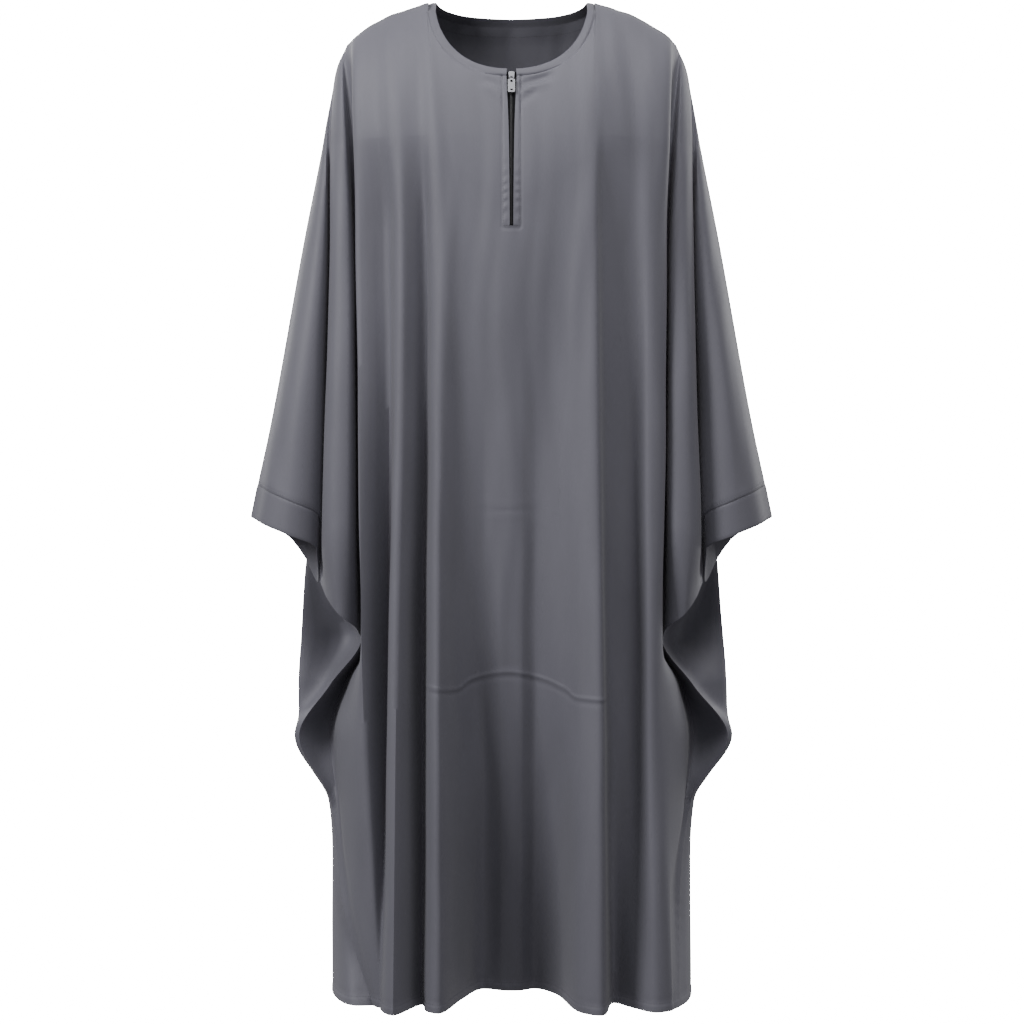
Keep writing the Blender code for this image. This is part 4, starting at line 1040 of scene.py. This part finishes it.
def feed(tree, node, inputs):
    """Give each of these inputs its value, or link it to the output that it is given."""
    for key, value in inputs.items():
        if isinstance(value, bpy.types.NodeSocket):
            tree.links.new(value, node.inputs[key])
        else:
            node.inputs[key].default_value = value


def add_node(tree, kind, inputs, **settings):
    """Add a shader node with its inputs and settings."""
    node = tree.nodes.new("ShaderNode" + kind)
    for key, value in settings.items():
        setattr(node, key, value)
    feed(tree, node, inputs)
    return node


def new_material(name):
    """A new material, its node tree and its Principled shader."""
    made = bpy.data.materials.new(name)
    made.use_nodes = True
    return made, made.node_tree, made.node_tree.nodes["Principled BSDF"]


def woven_material(name, dark, light, rough=0.62, thread=0.55, depth=0.05, sheen=0.12, gloss=0.5):
    """Plain woven cloth: threads both ways as fine bumps, a little uneven, over a faintly mottled colour.

    thread is one thread's width and depth the weave's relief, in millimetres.
    """
    made, tree, shader = new_material(name)
    uv = add_node(tree, "UVMap", {}).outputs["UV"]
    place = add_node(tree, "Mapping", {"Vector": uv, "Scale": (1.0, MOTTLE_STRETCH, 1.0)}).outputs["Vector"]
    mottle = add_node(tree, "TexNoise", {"Vector": place, "Scale": MOTTLE_SCALE, "Detail": 6.0})
    ramp = add_node(tree, "ValToRGB", {"Fac": mottle.outputs["Fac"]})
    for stop, position, colour in zip(ramp.color_ramp.elements, MOTTLE_STOPS, (dark, light)):
        stop.position = position
        stop.color = (*colour, 1.0)
    weave = {"Vector": uv, "Scale": BAND_SPACING / (thread * MM), "Distortion": 0.6, "Detail": 1.0}
    warp, weft = (add_node(tree, "TexWave", weave, bands_direction=way).outputs["Fac"] for way in "XY")
    height = add_node(tree, "Math", {0: warp, 1: weft}, operation="MULTIPLY").outputs["Value"]
    bump = add_node(tree, "Bump", {"Height": height, "Strength": 0.5, "Distance": depth * MM})
    feed(tree, shader, {"Base Color": ramp.outputs["Color"], "Normal": bump.outputs["Normal"],
                        "Roughness": rough, "Sheen Weight": sheen, "Sheen Roughness": 0.5,
                        "Specular IOR Level": gloss})
    return made


def plain_material(name, colour, rough, spots, metallic=0.0):
    """A smooth finish with slightly uneven gloss."""
    made, tree, shader = new_material(name)
    place = add_node(tree, "TexCoord", {}).outputs["Object"]
    noise = add_node(tree, "TexNoise", {"Vector": place, "Scale": GLOSS_SCALE}).outputs["Fac"]
    uneven = add_node(tree, "MapRange", {"Value": noise, "To Min": rough - spots, "To Max": rough + spots})
    feed(tree, shader, {"Base Color": (*colour, 1.0), "Metallic": metallic,
                        "Roughness": uneven.outputs["Result"]})
    return made


def studio():
    """The camera at the photograph's place, soft lights and a white surround."""
    scene = bpy.context.scene
    camera = bpy.data.cameras.new("camera")
    camera.sensor_width = SENSOR
    camera.lens = PIXELS_PER_METRE * CAMERA_AWAY / FRAME_PIXELS * SENSOR
    camera.shift_x = 0.5 / FRAME_PIXELS
    scene.camera = bpy.data.objects.new("camera", camera)
    scene.camera.location = (0.0, -CAMERA_AWAY, CAMERA_Z)
    scene.camera.rotation_euler = (radians(90), 0, 0)
    scene.collection.objects.link(scene.camera)
    for name, place, size, power in LIGHTS:
        light = bpy.data.lights.new(name, "AREA")
        light.shape = "RECTANGLE"
        light.size, light.size_y = size
        light.energy = power
        lamp = bpy.data.objects.new(name, light)
        lamp.location = place
        lamp.rotation_euler = (Vector(LIGHTS_AIM) - Vector(place)).to_track_quat("-Z", "Y").to_euler()
        scene.collection.objects.link(lamp)
    scene.world = bpy.data.worlds.new("surround")
    scene.world.use_nodes = True
    tree = scene.world.node_tree
    glow = tree.nodes["Background"]
    feed(tree, glow, {"Color": WORLD_COLOUR, "Strength": WORLD_STRENGTH})
    backdrop = add_node(tree, "Background", {"Strength": BACKDROP_STRENGTH})
    seen = add_node(tree, "LightPath", {}).outputs["Is Camera Ray"]
    either = add_node(tree, "MixShader", {"Fac": seen, 1: glow.outputs["Background"],
                                          2: backdrop.outputs["Background"]})
    feed(tree, tree.nodes["World Output"], {"Surface": either.outputs["Shader"]})


def finish_node(name, finish, bevel):
    """Give a CAD node its final finish, with its edges eased."""
    node = frame["nodes"][name]
    node.data.materials.clear()
    node.data.materials.append(finish)
    edge = node.modifiers.new("eased_edges", "BEVEL")
    edge.width = bevel * MM
    edge.segments = 2
    edge.limit_method = "ANGLE"
    edge.angle_limit = radians(BEVEL_ANGLE)


def dress(obj, node):
    """The piece rides on the garment and stands for its CAD node, which it hides."""
    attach(obj, "garment")
    if node:
        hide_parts(node)
    return obj


def main():
    cloth = woven_material("cloth_grey", (0.112, 0.110, 0.133), (0.122, 0.120, 0.145))
    band = woven_material("band_grey", (0.106, 0.104, 0.126), (0.116, 0.114, 0.138))
    tape = woven_material("tape_black", (0.004, 0.004, 0.005), (0.007, 0.007, 0.009),
                          rough=0.85, thread=0.9, depth=0.12, sheen=0.0, gloss=0.15)
    thread = plain_material("thread_grey", (0.03, 0.03, 0.036), 0.6, 0.05)
    coil = plain_material("zip_coil_black", (0.006, 0.006, 0.008), 0.5, 0.06)
    metal = plain_material("zip_metal", (0.13, 0.13, 0.14), 0.38, 0.06, metallic=1.0)

    def sew(name, path, outs, stitch=STITCH):
        return dress(stitches(name, path, outs, thread, *stitch), None)

    front, back = panels()
    front_cloth = add_wall("front_panel_cloth", front.spots, front.inner, front.faces, cloth, front.uv)
    back_cloth = add_wall("back_panel_cloth", back.spots, back.inner, back.faces, cloth, back.uv)
    dress(front_cloth, "front_panel")
    dress(back_cloth, "back_panel")
    band_cloth = dress(neckband(front, back, band), "neckband")
    for name, side in (("cuff_left", -1), ("cuff_right", 1)):
        obj, line, outs = cuff(f"{name}_cloth", front, back, side, band)
        dress(obj, name)
        sew(f"{name}_stitches", line, outs)
    for name, side in (("zip_tape_left", -1), ("zip_tape_right", 1)):
        obj, middle = zip_tape(f"{name}_woven", front, side, tape)
        dress(obj, name)
    dress(zip_coil(middle, coil), None)
    finish_node("zip_slider", metal, 0.25)
    finish_node("zip_pull", metal, 0.2)

    left, right = front.col["placket_left"] + 1, front.col["placket_right"] - 1
    for name, ids in (("left", front.ids[:front.to_chest + 1, left]),
                      ("right", front.ids[:front.to_chest + 1, right]),
                      ("foot", front.ids[front.to_chest, left:right + 1])):
        sew(f"placket_stitches_{name}", front.spots[ids], front.normals[ids])
    ids = back.ids[NECK_TAPE_ROWS, np.abs(back.points[0, :, 0]) < NECK_HALF_WIDTH]
    sew("neck_stitches_inside", back.inner[ids], -back.normals[ids])
    for name, sheet in (("front", front), ("back", back)):
        up = sheet.points[:, sheet.points.shape[1] // 2, 2] + LENGTH
        ids = sheet.ids[int(np.nanargmin(np.abs(up - HEM_TURN)))]
        ids = ids[ids >= 0]
        sew(f"hem_stitches_{name}", sheet.spots[ids], sheet.normals[ids], HEM_STITCH)
    studio()


main()
